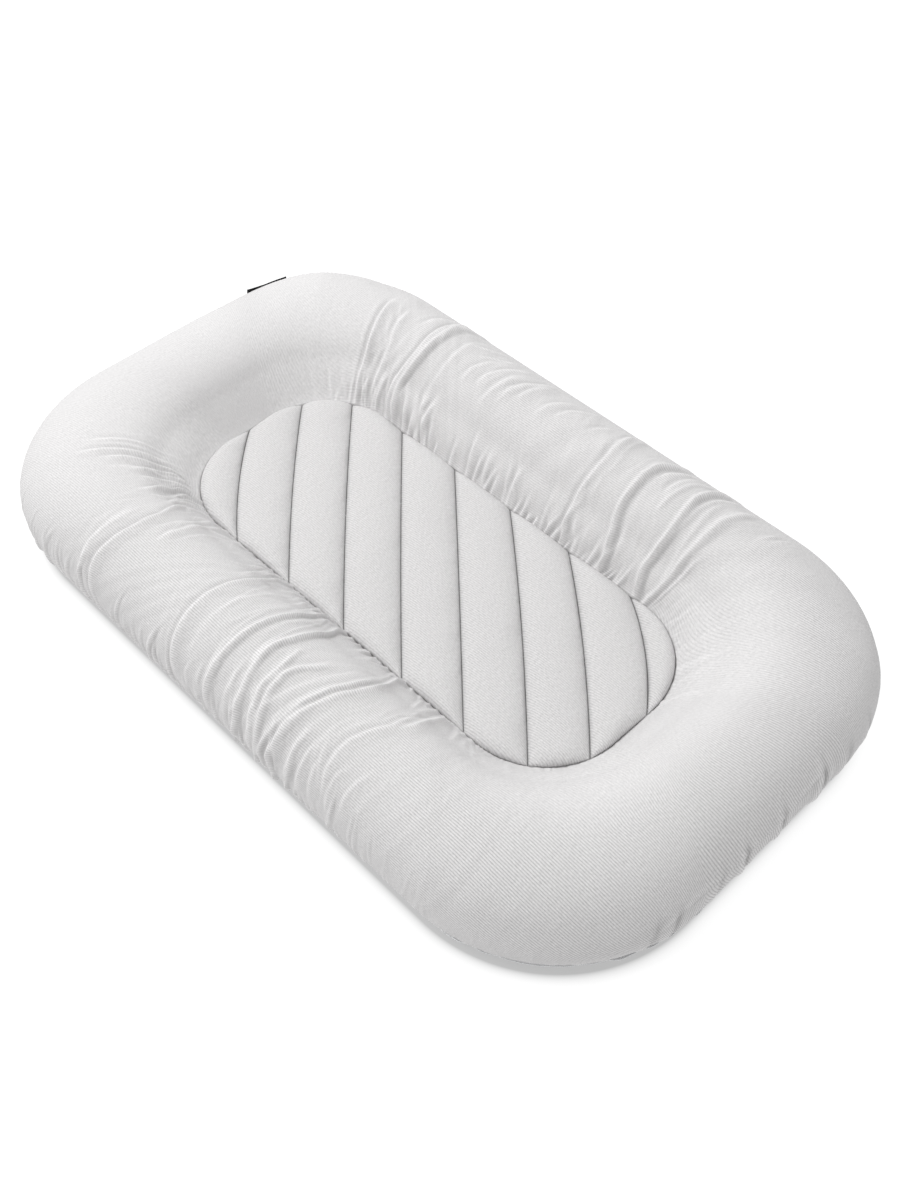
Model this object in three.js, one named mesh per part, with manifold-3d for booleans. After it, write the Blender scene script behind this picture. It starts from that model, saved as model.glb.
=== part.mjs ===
// Infant lounger: a low nest with a padded ring round a channel-quilted pad.
// Lengths are millimetres and angles are degrees. +Z is up, +Y points to the head end,
// and the origin is the middle of the underside, on the surface that it rests on.

import * as THREE from 'three';
import { mergeVertices } from 'three/addons/utils/BufferGeometryUtils.js';
import Module from 'manifold-3d';

const wasm = await Module();
wasm.setup();

// Overall outline, measured at the widest bulge of the bolster.
const loungerLength = 800;
const loungerWidth = 490;
const outerCornerRadius = 156;

// Bolster, seen in section. Insets run inward from the bulge.
const bolsterDepth = 117;
const crestHeight = 99;
const bulgeHeight = 46.3;
const sideBandWidth = 139.5;
const endBandWidth = 146.5;
const innerCornerRadius = 81.4;
const innerSeamHeight = 36.6;
const innerSlopeHollow = 4.8;
const baseSeamHeight = 10;

// Cloths, casing and fillings.
const coverThickness = 1.5;
const baseThickness = 1.6;
const baseLipWidth = 7;
const caseThickness = 0.8;
const backingThickness = 0.8;
const quiltClothThickness = 1.2;
const quiltPinchThickness = 1.5;
const gap = 0.3;

// Gathers across the long sides.
const gatherDepth = 5;
const gatherCount = 7;

// Quilted pad: diagonal channels, counted from the seam at the foot end's near corner.
const quiltAngle = 47.2;
const quiltPitch = 51.3;
const quiltLineCount = 8;
const quiltOffset = -5;
const quiltCrown = 8;
const quiltRimRise = 0.4;

// Foam insert under the quilting.
const foamEdgeInset = 118.8;
const foamEdgeRound = 4;
const toeInset = 134;

// Zip along the straight of the foot end.
const zipEndClearance = 3;
const zipTapeWidth = 14;
const zipTapeThickness = 0.7;
const zipLineRise = 6.6;
const zipPitch = 3.4;
const zipToothThickness = 2.2;
const zipToothReach = 1.3;
const zipRootDistance = 2.5;
const zipSpineWidth = 1;
const zipHeadSwell = 0.3;
const zipStopLength = 3;
const zipRunGap = 0.3;

// Slider and pull tab.
const sliderLength = 12.4;
const sliderRearWidth = 9.8;
const sliderFrontWidth = 12;
const sliderPlateThickness = 1;
const sliderRimWidth = 1.1;
const wedgeLength = 5.4;
const wedgeWidth = 3.4;
const bridgeLength = 7;
const bridgeWidth = 1.8;
const bridgeThickness = 0.8;
const bridgeOpening = 1.8;
const pullLength = 15;
const pullWidth = 5;
const pullThickness = 1;
const pullEyeWidth = 2.5;
const pullEyeLength = 4.4;

// Sewn label on the outer slope of the head end.
const labelLength = 45;
const labelThickness = 0.8;
const labelStandoff = 0.5;
const labelCornerAngle = 72.5;
const labelLowAngle = 5;
const labelHighAngle = 36;

// Shares that place the facets of the soft forms.
const lowerFacetShare = 0.37;
const blendShare = 0.5;
const capFacetAngles = [0, 30, 60, 90, 120, 148];
const cornerSteps = 5;
const slotEndAngle = 8;
const endSteps = 2;
const channelSteps = 4;
const alongSteps = 10;
const pillowPower = 8;
const gatherWindowShares = [0, 0.15, 0.45, 0.75, 1, 1, 1, 0.9, 0.6, 0];
const gatherSpreadShare = 0.25;

const deg = Math.PI / 180;

// Materials: the same pale cloth outside, plain fillings inside, white plastic for the zip.
const cloth = (color) => new THREE.MeshStandardMaterial({ color, roughness: 0.95, metalness: 0 });
const plastic = () => new THREE.MeshStandardMaterial({ color: 0xf2f2f0, roughness: 0.4, metalness: 0 });

// Section of the bolster: a point on its round part, by the angle above the bulge.
const sectionHalfDepth = bolsterDepth / 2;
const sectionHalfHeight = crestHeight - bulgeHeight;
function roundPoint(angle) {
  const turned = angle * deg;
  return new THREE.Vector2(
    sectionHalfDepth * (1 - Math.cos(turned)),
    bulgeHeight + sectionHalfHeight * Math.sin(turned),
  );
}
const angleAtHeight = (height) => Math.asin((height - bulgeHeight) / sectionHalfHeight) / deg;

// The outer cloth line from the floor over the crest to the inner seam.
const baseSeamAngle = angleAtHeight(baseSeamHeight);
const floorAngle = angleAtHeight(0);
const underAngle = (baseSeamAngle + floorAngle) / 2;
const innerSeam = new THREE.Vector2(sideBandWidth, innerSeamHeight);
const lastRound = roundPoint(capFacetAngles[capFacetAngles.length - 1]);
const blendPoint = lastRound.clone().lerp(innerSeam, blendShare);
blendPoint.y -= innerSlopeHollow;
const coverLine = [
  roundPoint(baseSeamAngle),
  roundPoint(baseSeamAngle * lowerFacetShare),
  ...capFacetAngles.map(roundPoint),
  blendPoint,
  innerSeam,
];
const underLine = [roundPoint(floorAngle), roundPoint(underAngle)];

// Moves each point of a line inward, to the right of its run, by its own distance.
function insetLine(line, distances) {
  const normals = [];
  for (let i = 1; i < line.length; i += 1) {
    const run = line[i].clone().sub(line[i - 1]).normalize();
    normals.push(new THREE.Vector2(run.y, -run.x));
  }
  return line.map((point, i) => {
    const before = normals[Math.max(i - 1, 0)];
    const after = normals[Math.min(i, normals.length - 1)];
    const miter = before.clone().add(after).normalize();
    const distance = Array.isArray(distances) ? distances[i] : distances;
    return point.clone().addScaledVector(miter, distance / miter.dot(after));
  });
}

// Stations round the ring: the share of each straight, the corner angle, the gather
// window of the long sides and whether the zip's slot is open there.
function ringStations() {
  const stations = [];
  const add = (fx, fy, angle, more) => stations.push({ fx, fy, angle, window: 0, zip: 0, ...more });
  const sideSteps = 2 * gatherCount + 1;
  const side = (fx, angle) => {
    for (let k = 0; k <= sideSteps; k += 1) {
      const along = k / sideSteps;
      const spread = 1 - gatherSpreadShare + gatherSpreadShare * Math.cos(k * k);
      const window = Math.sqrt(Math.sin(Math.PI * along)) * spread;
      add(fx, (2 * along - 1) * fx, angle, { window, valley: k % 2 === 0 ? 1 : 0 });
    }
  };
  const corner = (fx, fy, from) => {
    for (let k = 1; k < cornerSteps; k += 1) add(fx, fy, from + (90 * k) / cornerSteps);
  };
  side(1, 0);
  corner(1, 1, 0);
  for (let k = 0; k <= endSteps; k += 1) add(1 - (2 * k) / endSteps, 1, 90);
  corner(-1, 1, 90);
  side(-1, 180);
  corner(-1, -1, 180);
  add(-1, -1, 270 - slotEndAngle);
  for (let k = 0; k <= endSteps; k += 1) add((2 * k) / endSteps - 1, -1, 270, { zip: 1 });
  add(1, -1, 270 + slotEndAngle);
  corner(1, -1, 270);
  return stations;
}
const stations = ringStations();

// A point of the ring at a station, for an inset and a height of the side section.
function ringPoint(station, inset, height) {
  const share = inset / sideBandWidth;
  const halfX = loungerWidth / 2 - share * sideBandWidth;
  const halfY = loungerLength / 2 - share * endBandWidth;
  const radius = outerCornerRadius + (innerCornerRadius - outerCornerRadius) * share;
  return new THREE.Vector3(
    station.fx * (halfX - radius) + radius * Math.cos(station.angle * deg),
    station.fy * (halfY - radius) + radius * Math.sin(station.angle * deg),
    height,
  );
}

// Makes a closed body from vertices and triangles, turned so that its faces point out.
function body(points, triangles) {
  let volume = 0;
  for (const [a, b, c] of triangles) {
    volume += points[a].dot(points[b].clone().cross(points[c]));
  }
  const turned = volume < 0 ? triangles.map(([a, b, c]) => [a, c, b]) : triangles;
  const geometry = new THREE.BufferGeometry();
  const flat = points.flatMap((p) => [p.x, p.y, p.z]);
  geometry.setAttribute('position', new THREE.Float32BufferAttribute(flat, 3));
  geometry.setIndex(turned.flat());
  geometry.computeVertexNormals();
  return geometry;
}

// Carries a section round the ring. section(station) gives its points; a closed section
// makes a ring-shaped body, and an open one is closed by a flat cap inside each end. The
// second half of a closed section runs back along a sheet's inside, where the faces are
// split along the other diagonal, so that layers that lie on each other split alike.
function ringBody(section, closed, sheet = false) {
  const points = [];
  const triangles = [];
  const count = section(stations[0]).length;
  for (const station of stations) {
    for (const point of section(station)) points.push(ringPoint(station, point.x, point.y));
  }
  const last = closed ? count : count - 1;
  for (let i = 0; i < stations.length; i += 1) {
    const next = (i + 1) % stations.length;
    for (let j = 0; j < last; j += 1) {
      const k = (j + 1) % count;
      const [a, b, c, d] = [i * count + j, next * count + j, next * count + k, i * count + k];
      if (sheet && j >= count / 2) triangles.push([a, b, d], [b, c, d]);
      else triangles.push([a, b, c], [a, c, d]);
    }
  }
  if (!closed) {
    for (const end of [0, count - 1]) {
      const middle = points.length;
      points.push(new THREE.Vector3(0, 0, points[end].z));
      for (let i = 0; i < stations.length; i += 1) {
        const [a, b] = [i * count + end, ((i + 1) % stations.length) * count + end];
        triangles.push(end === 0 ? [middle, b, a] : [middle, a, b]);
      }
    }
  }
  return body(points, triangles);
}

// Depth that the gathers take from the cover's line at a station, for each of its points.
const gatherDepths = (station) => gatherWindowShares.map((share) => share * gatherDepth * station.window);

// Cover: a sheet from the base seam to the inner seam, cut back above the zip.
const seamFacet = coverLine[1].clone().sub(coverLine[0]);
const slotHalfHeight = sliderFrontWidth / 2 + zipRunGap;
const slotShare = (zipLineRise + slotHalfHeight) / seamFacet.length();
function coverSection(station) {
  const depths = gatherDepths(station);
  const outer = insetLine(coverLine, depths.map((depth) => depth * (station.valley ?? 0)));
  const inner = insetLine(coverLine, depths.map((depth) => depth + coverThickness));
  for (const line of [outer, inner]) line[0].lerp(line[1], slotShare * station.zip);
  return [...outer, ...inner.reverse()];
}

// Underside: a flat sheet whose edge turns up to the base seam and ends in a thin lip.
function baseSection() {
  const outer = insetLine([...underLine, coverLine[0]], 0);
  const inner = insetLine([...underLine, coverLine[0]], baseThickness);
  const lipTop = baseSeamHeight - gap;
  const lipBottom = lipTop - baseThickness;
  const root = roundPoint(angleAtHeight(lipBottom));
  const lipInset = coverLine[0].x - baseLipWidth;
  return [
    outer[0],
    outer[1],
    root,
    new THREE.Vector2(lipInset, lipBottom),
    new THREE.Vector2(lipInset, lipTop),
    new THREE.Vector2(inner[2].x, lipTop),
    inner[1],
    new THREE.Vector2(inner[0].x, baseThickness),
  ];
}

// Heights of the layers under the pad.
const caseBaseBottom = baseThickness + gap;
const fillingBottom = caseBaseBottom + caseThickness + gap;
const quiltRimTop = innerSeamHeight + quiltRimRise;
const waddingRimTop = quiltRimTop - quiltClothThickness - gap;
const waddingBottom = waddingRimTop - quiltPinchThickness;
const backingTop = waddingBottom - gap;
const foamTop = backingTop - backingThickness - gap;
const toeHeight = foamTop + gap;

// The casing's outer line: under the cover from the bottom corner over the crest, then
// the toe that reaches over the foam's edge, and down the foam's side.
const zipDepth = zipTapeThickness / 2 + zipToothThickness / 2 + zipRunGap + sliderPlateThickness;
const coverClearance = Math.max(coverThickness, baseThickness) + gap;
function casingLine(station) {
  const depths = gatherDepths(station);
  const recess = (zipDepth + 2 * gap) * station.zip;
  const whole = [...underLine.slice(1), ...coverLine];
  const insets = [recess, recess + depths[0], recess + depths[1], ...depths.slice(2)];
  const line = insetLine(whole, insets.map((depth) => depth + coverClearance));
  const seam = line.pop();
  const blend = line[line.length - 1];
  const tip = blend.clone().lerp(seam, (toeInset - blend.x) / (seam.x - blend.x));
  const corner = new THREE.Vector2(roundPoint(floorAngle).x + recess + coverClearance, fillingBottom);
  const wall = foamEdgeInset - gap;
  return [
    corner,
    ...line,
    tip,
    new THREE.Vector2(toeInset, toeHeight),
    new THREE.Vector2(wall, toeHeight),
    new THREE.Vector2(wall, fillingBottom),
  ];
}
function casingSection(station) {
  const outer = casingLine(station);
  const inner = insetLine(outer, caseThickness);
  for (const end of [0, inner.length - 1]) inner[end].y = fillingBottom;
  return [...outer, ...inner.reverse()];
}
function fillingSection(station) {
  const line = insetLine(casingLine(station), caseThickness + gap);
  for (const end of [0, line.length - 1]) line[end].y = fillingBottom;
  return line;
}

// A flat sheet or block inside the ring, by the insets and heights of its edge.
const edgeBody = (edge) => ringBody(() => edge.map(([inset, height]) => new THREE.Vector2(inset, height)), false);
const caseBaseInset = roundPoint(floorAngle).x + coverClearance;
const padInset = sideBandWidth + gap;

// Signed distance along a channel's run from its middle line to the pad's outline.
const padOutline = (inset) => stations.map((station) => ringPoint(station, inset, 0));
const quiltRun = new THREE.Vector3(Math.cos(quiltAngle * deg), Math.sin(quiltAngle * deg), 0);
const quiltCross = new THREE.Vector3(-quiltRun.y, quiltRun.x, 0);
function chordAcross(outline, across) {
  const hits = [];
  for (let i = 0; i < outline.length; i += 1) {
    const [p, q] = [outline[i], outline[(i + 1) % outline.length]];
    const [dp, dq] = [p.dot(quiltCross) - across, q.dot(quiltCross) - across];
    if (dp * dq > 0 || dp === dq) continue;
    hits.push(p.clone().lerp(q, dp / (dp - dq)).dot(quiltRun));
  }
  return [Math.min(...hits), Math.max(...hits)];
}

// Places across the channels: each channel is split alike, and the two end ones reach
// nearly to the outline's furthest corner.
const endChannelReachShare = 0.998;
function channelPlaces(outline) {
  const crossings = outline.map((p) => p.dot(quiltCross));
  const low = Math.min(...crossings) * endChannelReachShare;
  const high = Math.max(...crossings) * endChannelReachShare;
  const middle = (quiltLineCount - 1) / 2;
  const lines = Array.from({ length: quiltLineCount }, (_, k) => quiltOffset + (k - middle) * quiltPitch);
  const edges = [low, ...lines.filter((line) => line > low && line < high), high];
  const places = [];
  for (let k = 1; k < edges.length; k += 1) {
    for (let step = k === 1 ? 0 : 1; step <= channelSteps; step += 1) {
      const share = step / channelSteps;
      places.push({ across: edges[k - 1] + (edges[k] - edges[k - 1]) * share, share });
    }
  }
  return places;
}

// A quilted layer: each channel swells as an arch across and stays full nearly to its ends.
function quiltedLayer(topAt, bottomAt) {
  const outline = padOutline(padInset);
  const points = [];
  const places = channelPlaces(outline);
  const count = alongSteps + 1;
  for (const level of [topAt, bottomAt]) {
    for (const { across, share } of places) {
      const [from, to] = chordAcross(outline, across);
      for (let j = 0; j < count; j += 1) {
        const along = (1 - Math.cos((Math.PI * j) / alongSteps)) / 2;
        const full = Math.sqrt(Math.max(0, 1 - Math.abs(2 * along - 1) ** pillowPower));
        const arch = Math.sqrt(Math.max(0, Math.sin(Math.PI * share))) * full;
        const point = quiltRun.clone().multiplyScalar(from + (to - from) * along);
        point.addScaledVector(quiltCross, across);
        point.z = level(quiltCrown * arch);
        points.push(point);
      }
    }
  }
  const rows = places.length;
  const half = rows * count;
  const triangles = [];
  const quad = (a, b, c, d) => triangles.push([a, b, c], [a, c, d]);
  for (let i = 0; i < rows - 1; i += 1) {
    for (let j = 0; j < alongSteps; j += 1) {
      const a = i * count + j;
      quad(a, a + count, a + count + 1, a + 1);
      quad(half + a, half + a + 1, half + a + count + 1, half + a + count);
    }
    const [p, q] = [i * count, (i + 1) * count];
    quad(p, half + p, half + q, q);
    quad(p + alongSteps, q + alongSteps, half + q + alongSteps, half + p + alongSteps);
  }
  for (let j = 0; j < alongSteps; j += 1) {
    const p = (rows - 1) * count + j;
    quad(j, j + 1, half + j + 1, half + j);
    quad(p, half + p, half + p + 1, p + 1);
  }
  return body(points, triangles);
}

// The zip lies along the cover's lowest facet at the foot end.
const footShare = endBandWidth / sideBandWidth;
const atFoot = (point) => new THREE.Vector3(0, -loungerLength / 2 + point.x * footShare, point.y);
const zipHalfLength = loungerWidth / 2 - outerCornerRadius - zipEndClearance;
const tapeLine = insetLine([...underLine, ...coverLine], coverClearance).slice(1, 4).map(atFoot);
const zipUp = tapeLine[2].clone().sub(tapeLine[1]).normalize();
const zipAlong = new THREE.Vector3(1, 0, 0);
const zipOut = zipAlong.clone().cross(zipUp);
const zipOrigin = tapeLine[1].clone().addScaledVector(zipUp, zipLineRise);
zipOrigin.addScaledVector(zipOut, -zipTapeThickness / 2);

// A profile in the zip's own plane (along, up), given a thickness centred on that plane.
function zipPlate(shape, from, to) {
  const geometry = new THREE.ExtrudeGeometry(shape, { depth: to - from, bevelEnabled: false });
  return geometry.translate(0, 0, from);
}

// Tapes: strips whose outer ends bend along the cloth that they are sewn to.
const spineOuter = zipRootDistance + zipSpineWidth;
function tapeGeometry(side) {
  const start = zipLineRise + side * (spineOuter + gap);
  const near = tapeLine[1].clone().addScaledVector(zipUp, start);
  const line = [near];
  if (side > 0) {
    line.push(near.clone().addScaledVector(zipUp, zipTapeWidth - spineOuter - gap));
  } else {
    const down = tapeLine[0].clone().sub(tapeLine[1]).normalize();
    const rest = Math.max(zipTapeWidth - spineOuter - gap - start, zipTapeThickness);
    line.push(tapeLine[1].clone(), tapeLine[1].clone().addScaledVector(down, rest));
  }
  const flat = line.map((p) => new THREE.Vector2(p.y, p.z));
  const inner = insetLine(flat, side > 0 ? zipTapeThickness : -zipTapeThickness);
  const shape = new THREE.Shape([...flat, ...inner.reverse()]);
  const geometry = new THREE.ExtrudeGeometry(shape, { depth: 2 * zipHalfLength, bevelEnabled: false });
  geometry.applyMatrix4(new THREE.Matrix4().makeBasis(
    new THREE.Vector3(0, 1, 0),
    new THREE.Vector3(0, 0, 1),
    new THREE.Vector3(1, 0, 0),
  ));
  return geometry.translate(-zipHalfLength, 0, 0);
}

// Chain: two combs of moulded teeth, half a pitch apart, whose swollen heads pass the
// middle line and sit between the other comb's necks.
const sliderPark = zipHalfLength - sliderLength;
const chainStart = -zipHalfLength + zipStopLength + 2 * gap;
const toothCount = Math.floor((sliderPark - chainStart) / zipPitch - 1 / 2);
const chainEnd = chainStart + (toothCount + 1 / 2) * zipPitch;
const toothHalf = zipPitch / 4 - gap / 2;
const headHalf = toothHalf + zipHeadSwell / 2;
const neckHalf = toothHalf - zipHeadSwell / 2;
const swellShare = 0.4;
function combGeometry(side) {
  const at = (x, reach) => new THREE.Vector2(x, side * reach);
  const outline = [at(chainStart, spineOuter), at(chainStart, zipRootDistance)];
  const first = chainStart + zipPitch * (side > 0 ? 1 / 4 : 3 / 4);
  for (let k = 0; k < toothCount; k += 1) {
    const x = first + k * zipPitch;
    outline.push(
      at(x - neckHalf, zipRootDistance),
      at(x - neckHalf, swellShare * zipToothReach),
      at(x - headHalf, -swellShare * zipToothReach),
      at(x - neckHalf, -zipToothReach),
      at(x + neckHalf, -zipToothReach),
      at(x + headHalf, -swellShare * zipToothReach),
      at(x + neckHalf, swellShare * zipToothReach),
      at(x + neckHalf, zipRootDistance),
    );
  }
  outline.push(at(chainEnd, zipRootDistance), at(chainEnd, spineOuter));
  return zipPlate(new THREE.Shape(outline), -zipToothThickness / 2, zipToothThickness / 2);
}

// Slider: two plates with rims that leave a slit for the tapes, joined by the wedge that
// parts the rows, with a bridge on the outer plate for the pull.
const solid = (geometry) => {
  const plain = geometry.clone();
  plain.deleteAttribute('normal');
  plain.deleteAttribute('uv');
  const merged = mergeVertices(plain);
  const vertProperties = merged.attributes.position.array;
  const triVerts = new Uint32Array(merged.index.array);
  return new wasm.Manifold(new wasm.Mesh({ numProp: 3, vertProperties, triVerts }));
};
function fromSolid(manifold) {
  const mesh = manifold.getMesh();
  const geometry = new THREE.BufferGeometry();
  geometry.setAttribute('position', new THREE.BufferAttribute(mesh.vertProperties, 3));
  geometry.setIndex(new THREE.BufferAttribute(mesh.triVerts, 1));
  geometry.computeVertexNormals();
  return geometry;
}
const channelHalf = zipToothThickness / 2 + zipRunGap;
const plateOuter = channelHalf + sliderPlateThickness;
const sliderShoulderShare = 0.25;
const sliderNoseShare = 0.87;
function sliderOutline(trim, overrun) {
  const [back, front] = [-sliderLength / 2 - overrun, sliderLength / 2 + overrun];
  const [rear, wide] = [sliderRearWidth / 2 - trim, sliderFrontWidth / 2 - trim];
  const shoulder = sliderShoulderShare * sliderLength;
  const upper = [[back, rear], [0, rear], [shoulder, wide], [front, wide * sliderNoseShare]];
  const lower = upper.map(([x, y]) => [x, -y]).reverse();
  return new THREE.Shape([...upper, ...lower].map(([x, y]) => new THREE.Vector2(x, y)));
}
function sliderGeometry() {
  const slit = zipTapeThickness / 2 + zipRunGap;
  const outside = solid(zipPlate(sliderOutline(0, 0), -plateOuter, plateOuter));
  const channel = solid(zipPlate(sliderOutline(sliderRimWidth, sliderRimWidth), -channelHalf, channelHalf));
  const tapes = solid(new THREE.BoxGeometry(2 * sliderLength, 2 * sliderFrontWidth, 2 * slit));
  const tip = sliderLength / 2 - wedgeLength;
  const wedgeBack = sliderLength / 2;
  const widest = (tip + wedgeBack) / 2;
  const wedgeLine = [[tip, 0], [widest, wedgeWidth / 2], [wedgeBack, wedgeWidth / 4]];
  const mirrored = wedgeLine.slice(1).map(([x, y]) => [x, -y]).reverse();
  const wedgeShape = new THREE.Shape([...wedgeLine, ...mirrored].map(([x, y]) => new THREE.Vector2(x, y)));
  const wedgeHalf = channelHalf + sliderPlateThickness / 2;
  const wedge = solid(zipPlate(wedgeShape, -wedgeHalf, wedgeHalf));
  const archHalf = bridgeLength / 2;
  const legTop = plateOuter + bridgeOpening;
  const foot = plateOuter - sliderPlateThickness / 2;
  const arch = new THREE.Shape([
    [-archHalf, foot], [-archHalf, legTop + bridgeThickness],
    [archHalf, legTop + bridgeThickness], [archHalf, foot],
    [archHalf - bridgeThickness, foot], [archHalf - bridgeThickness, legTop],
    [bridgeThickness - archHalf, legTop], [bridgeThickness - archHalf, foot],
  ].map(([x, y]) => new THREE.Vector2(x, y)));
  const archGeometry = zipPlate(arch, -bridgeWidth / 2, bridgeWidth / 2);
  archGeometry.rotateX(90 * deg);
  return fromSolid(outside.subtract(channel).subtract(tapes).add(wedge).add(solid(archGeometry)));
}

// Pull tab: its front bar lies in the bridge, and its eye clears the bridge as it swings.
function pullGeometry() {
  const half = pullWidth / 2;
  const bar = pullThickness / 2;
  const shape = new THREE.Shape();
  shape.moveTo(bar, -half);
  shape.lineTo(bar, half);
  shape.lineTo(half - pullLength, half);
  shape.absarc(half - pullLength, 0, half, 90 * deg, 270 * deg, false);
  const eye = new THREE.Path([
    [-bar, -pullEyeWidth / 2], [-bar, pullEyeWidth / 2],
    [-bar - pullEyeLength, pullEyeWidth / 2], [-bar - pullEyeLength, -pullEyeWidth / 2],
  ].map(([x, y]) => new THREE.Vector2(x, y)));
  shape.holes.push(eye);
  const options = { depth: pullThickness, bevelEnabled: false, curveSegments: 8 };
  return new THREE.ExtrudeGeometry(shape, options).translate(0, 0, -bar);
}

// Label: a thin patch that follows the outer slope of the head end's corner.
function labelGeometry() {
  const labelSteps = 4;
  const cornerStation = { fx: 1, fy: 1 };
  const spread = labelLength / outerCornerRadius / deg;
  const count = labelSteps + 1;
  const points = [];
  for (const standoff of [labelStandoff, labelStandoff + labelThickness]) {
    for (let i = 0; i < count; i += 1) {
      const height = labelLowAngle + ((labelHighAngle - labelLowAngle) * i) / labelSteps;
      const profile = insetLine([height - 1, height, height + 1].map(roundPoint), -standoff)[1];
      for (let j = 0; j < count; j += 1) {
        const angle = labelCornerAngle + spread * (j / labelSteps - 1 / 2);
        points.push(ringPoint({ ...cornerStation, angle }, profile.x, profile.y));
      }
    }
  }
  const half = count * count;
  const triangles = [];
  const quad = (a, b, c, d) => triangles.push([a, b, c], [a, c, d]);
  for (let i = 0; i < labelSteps; i += 1) {
    for (let j = 0; j < labelSteps; j += 1) {
      const a = i * count + j;
      quad(half + a, half + a + 1, half + a + count + 1, half + a + count);
      quad(a, a + count, a + count + 1, a + 1);
    }
    const [low, high] = [i, labelSteps * count + i];
    quad(low, low + 1, half + low + 1, half + low);
    quad(high, half + high, half + high + 1, high + 1);
    const [left, right] = [i * count, i * count + labelSteps];
    quad(left, half + left, half + left + count, left + count);
    quad(right, right + count, half + right + count, half + right);
  }
  return body(points, triangles);
}

// The assembly.
const lounger = new THREE.Group();
function place(parent, name, geometry, material, position) {
  const mesh = new THREE.Mesh(geometry, material);
  mesh.name = name;
  if (position) mesh.position.copy(position);
  parent.add(mesh);
}
place(lounger, 'base_panel', ringBody(baseSection, false), cloth(0xe6e6e4));
place(lounger, 'bolster_cover', ringBody(coverSection, true, true), cloth(0xececea));
place(lounger, 'inner_case_top', ringBody(casingSection, true, true), cloth(0xf4f4f2));
place(lounger, 'inner_case_base', edgeBody([
  [caseBaseInset, caseBaseBottom],
  [caseBaseInset, caseBaseBottom + caseThickness],
]), cloth(0xf4f4f2));
place(lounger, 'bolster_filling', ringBody(fillingSection, true), cloth(0xfafafa));
place(lounger, 'mattress_foam', edgeBody([
  [foamEdgeInset + foamEdgeRound, fillingBottom],
  [foamEdgeInset, fillingBottom + foamEdgeRound],
  [foamEdgeInset, foamTop - foamEdgeRound],
  [foamEdgeInset + foamEdgeRound, foamTop],
]), cloth(0xf3ecd0));
place(lounger, 'quilt_backing', edgeBody([
  [padInset, backingTop - backingThickness],
  [padInset, backingTop],
]), cloth(0xf4f4f2));
place(lounger, 'quilt_wadding', quiltedLayer(
  (swell) => waddingRimTop + swell,
  () => waddingBottom,
), cloth(0xfafafa));
place(lounger, 'quilted_top', quiltedLayer(
  (swell) => quiltRimTop + swell,
  (swell) => quiltRimTop - quiltClothThickness + swell,
), cloth(0xececea));
place(lounger, 'side_label', labelGeometry(), cloth(0x1c1c1e));
place(lounger, 'zip_tape_upper', tapeGeometry(1), cloth(0xf0f0ee));
place(lounger, 'zip_tape_lower', tapeGeometry(-1), cloth(0xf0f0ee));

const zip = new THREE.Group();
zip.applyMatrix4(new THREE.Matrix4().makeBasis(zipAlong, zipUp, zipOut).setPosition(zipOrigin));
lounger.add(zip);
const stopWidth = spineOuter - wedgeWidth / 2 - gap;
const stopGeometry = (width) => new THREE.BoxGeometry(zipStopLength, width, zipToothThickness);
const topStopX = chainEnd + gap + zipStopLength / 2;
const stopY = spineOuter - stopWidth / 2;
const parkX = chainEnd + wedgeLength - sliderLength / 2 + gap;
place(zip, 'zip_teeth_upper', combGeometry(1), plastic());
place(zip, 'zip_teeth_lower', combGeometry(-1), plastic());
place(zip, 'zip_top_stop_upper', stopGeometry(stopWidth), plastic(), new THREE.Vector3(topStopX, stopY, 0));
place(zip, 'zip_top_stop_lower', stopGeometry(stopWidth), plastic(), new THREE.Vector3(topStopX, -stopY, 0));
const bottomStopX = chainStart - gap - zipStopLength / 2;
place(zip, 'zip_bottom_stop', stopGeometry(2 * spineOuter), plastic(), new THREE.Vector3(bottomStopX, 0, 0));
place(zip, 'zip_slider', sliderGeometry(), plastic(), new THREE.Vector3(parkX, 0, 0));
const pullRise = plateOuter + bridgeOpening / 2;
place(zip, 'zip_pull', pullGeometry(), plastic(), new THREE.Vector3(parkX, 0, pullRise));

export default lounger;
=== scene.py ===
"""Infant lounger: a nest with a gathered bolster round a channel-quilted pad.

Lengths are metres on the settings and millimetres in the shape functions; new_piece turns
them into metres. +Z is up, +Y points to the head end, and the origin is the middle of the
underside. The side at -X is the near one, and the side at +X the far one.

A place on the bolster has an address and a share. The address is the run along the outer
outline from the middle of its side, positive towards the head. The share is the part of the
section's arc from the base seam, over the crest, to the inner seam.
"""

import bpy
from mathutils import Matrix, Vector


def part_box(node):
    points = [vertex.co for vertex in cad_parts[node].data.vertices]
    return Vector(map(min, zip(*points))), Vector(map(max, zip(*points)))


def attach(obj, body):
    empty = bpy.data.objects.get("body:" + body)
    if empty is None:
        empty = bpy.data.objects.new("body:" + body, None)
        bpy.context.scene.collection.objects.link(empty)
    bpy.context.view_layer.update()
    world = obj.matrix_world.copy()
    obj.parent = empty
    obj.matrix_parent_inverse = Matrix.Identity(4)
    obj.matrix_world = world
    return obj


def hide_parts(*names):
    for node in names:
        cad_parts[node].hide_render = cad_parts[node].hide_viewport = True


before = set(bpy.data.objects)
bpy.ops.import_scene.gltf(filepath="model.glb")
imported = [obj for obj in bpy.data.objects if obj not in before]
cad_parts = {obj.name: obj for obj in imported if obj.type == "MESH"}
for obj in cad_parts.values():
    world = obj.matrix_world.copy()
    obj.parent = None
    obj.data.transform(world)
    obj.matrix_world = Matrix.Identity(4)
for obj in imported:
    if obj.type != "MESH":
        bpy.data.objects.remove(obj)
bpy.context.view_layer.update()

from types import SimpleNamespace

import bpy
import numpy as np
from mathutils import Matrix, Vector

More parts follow.
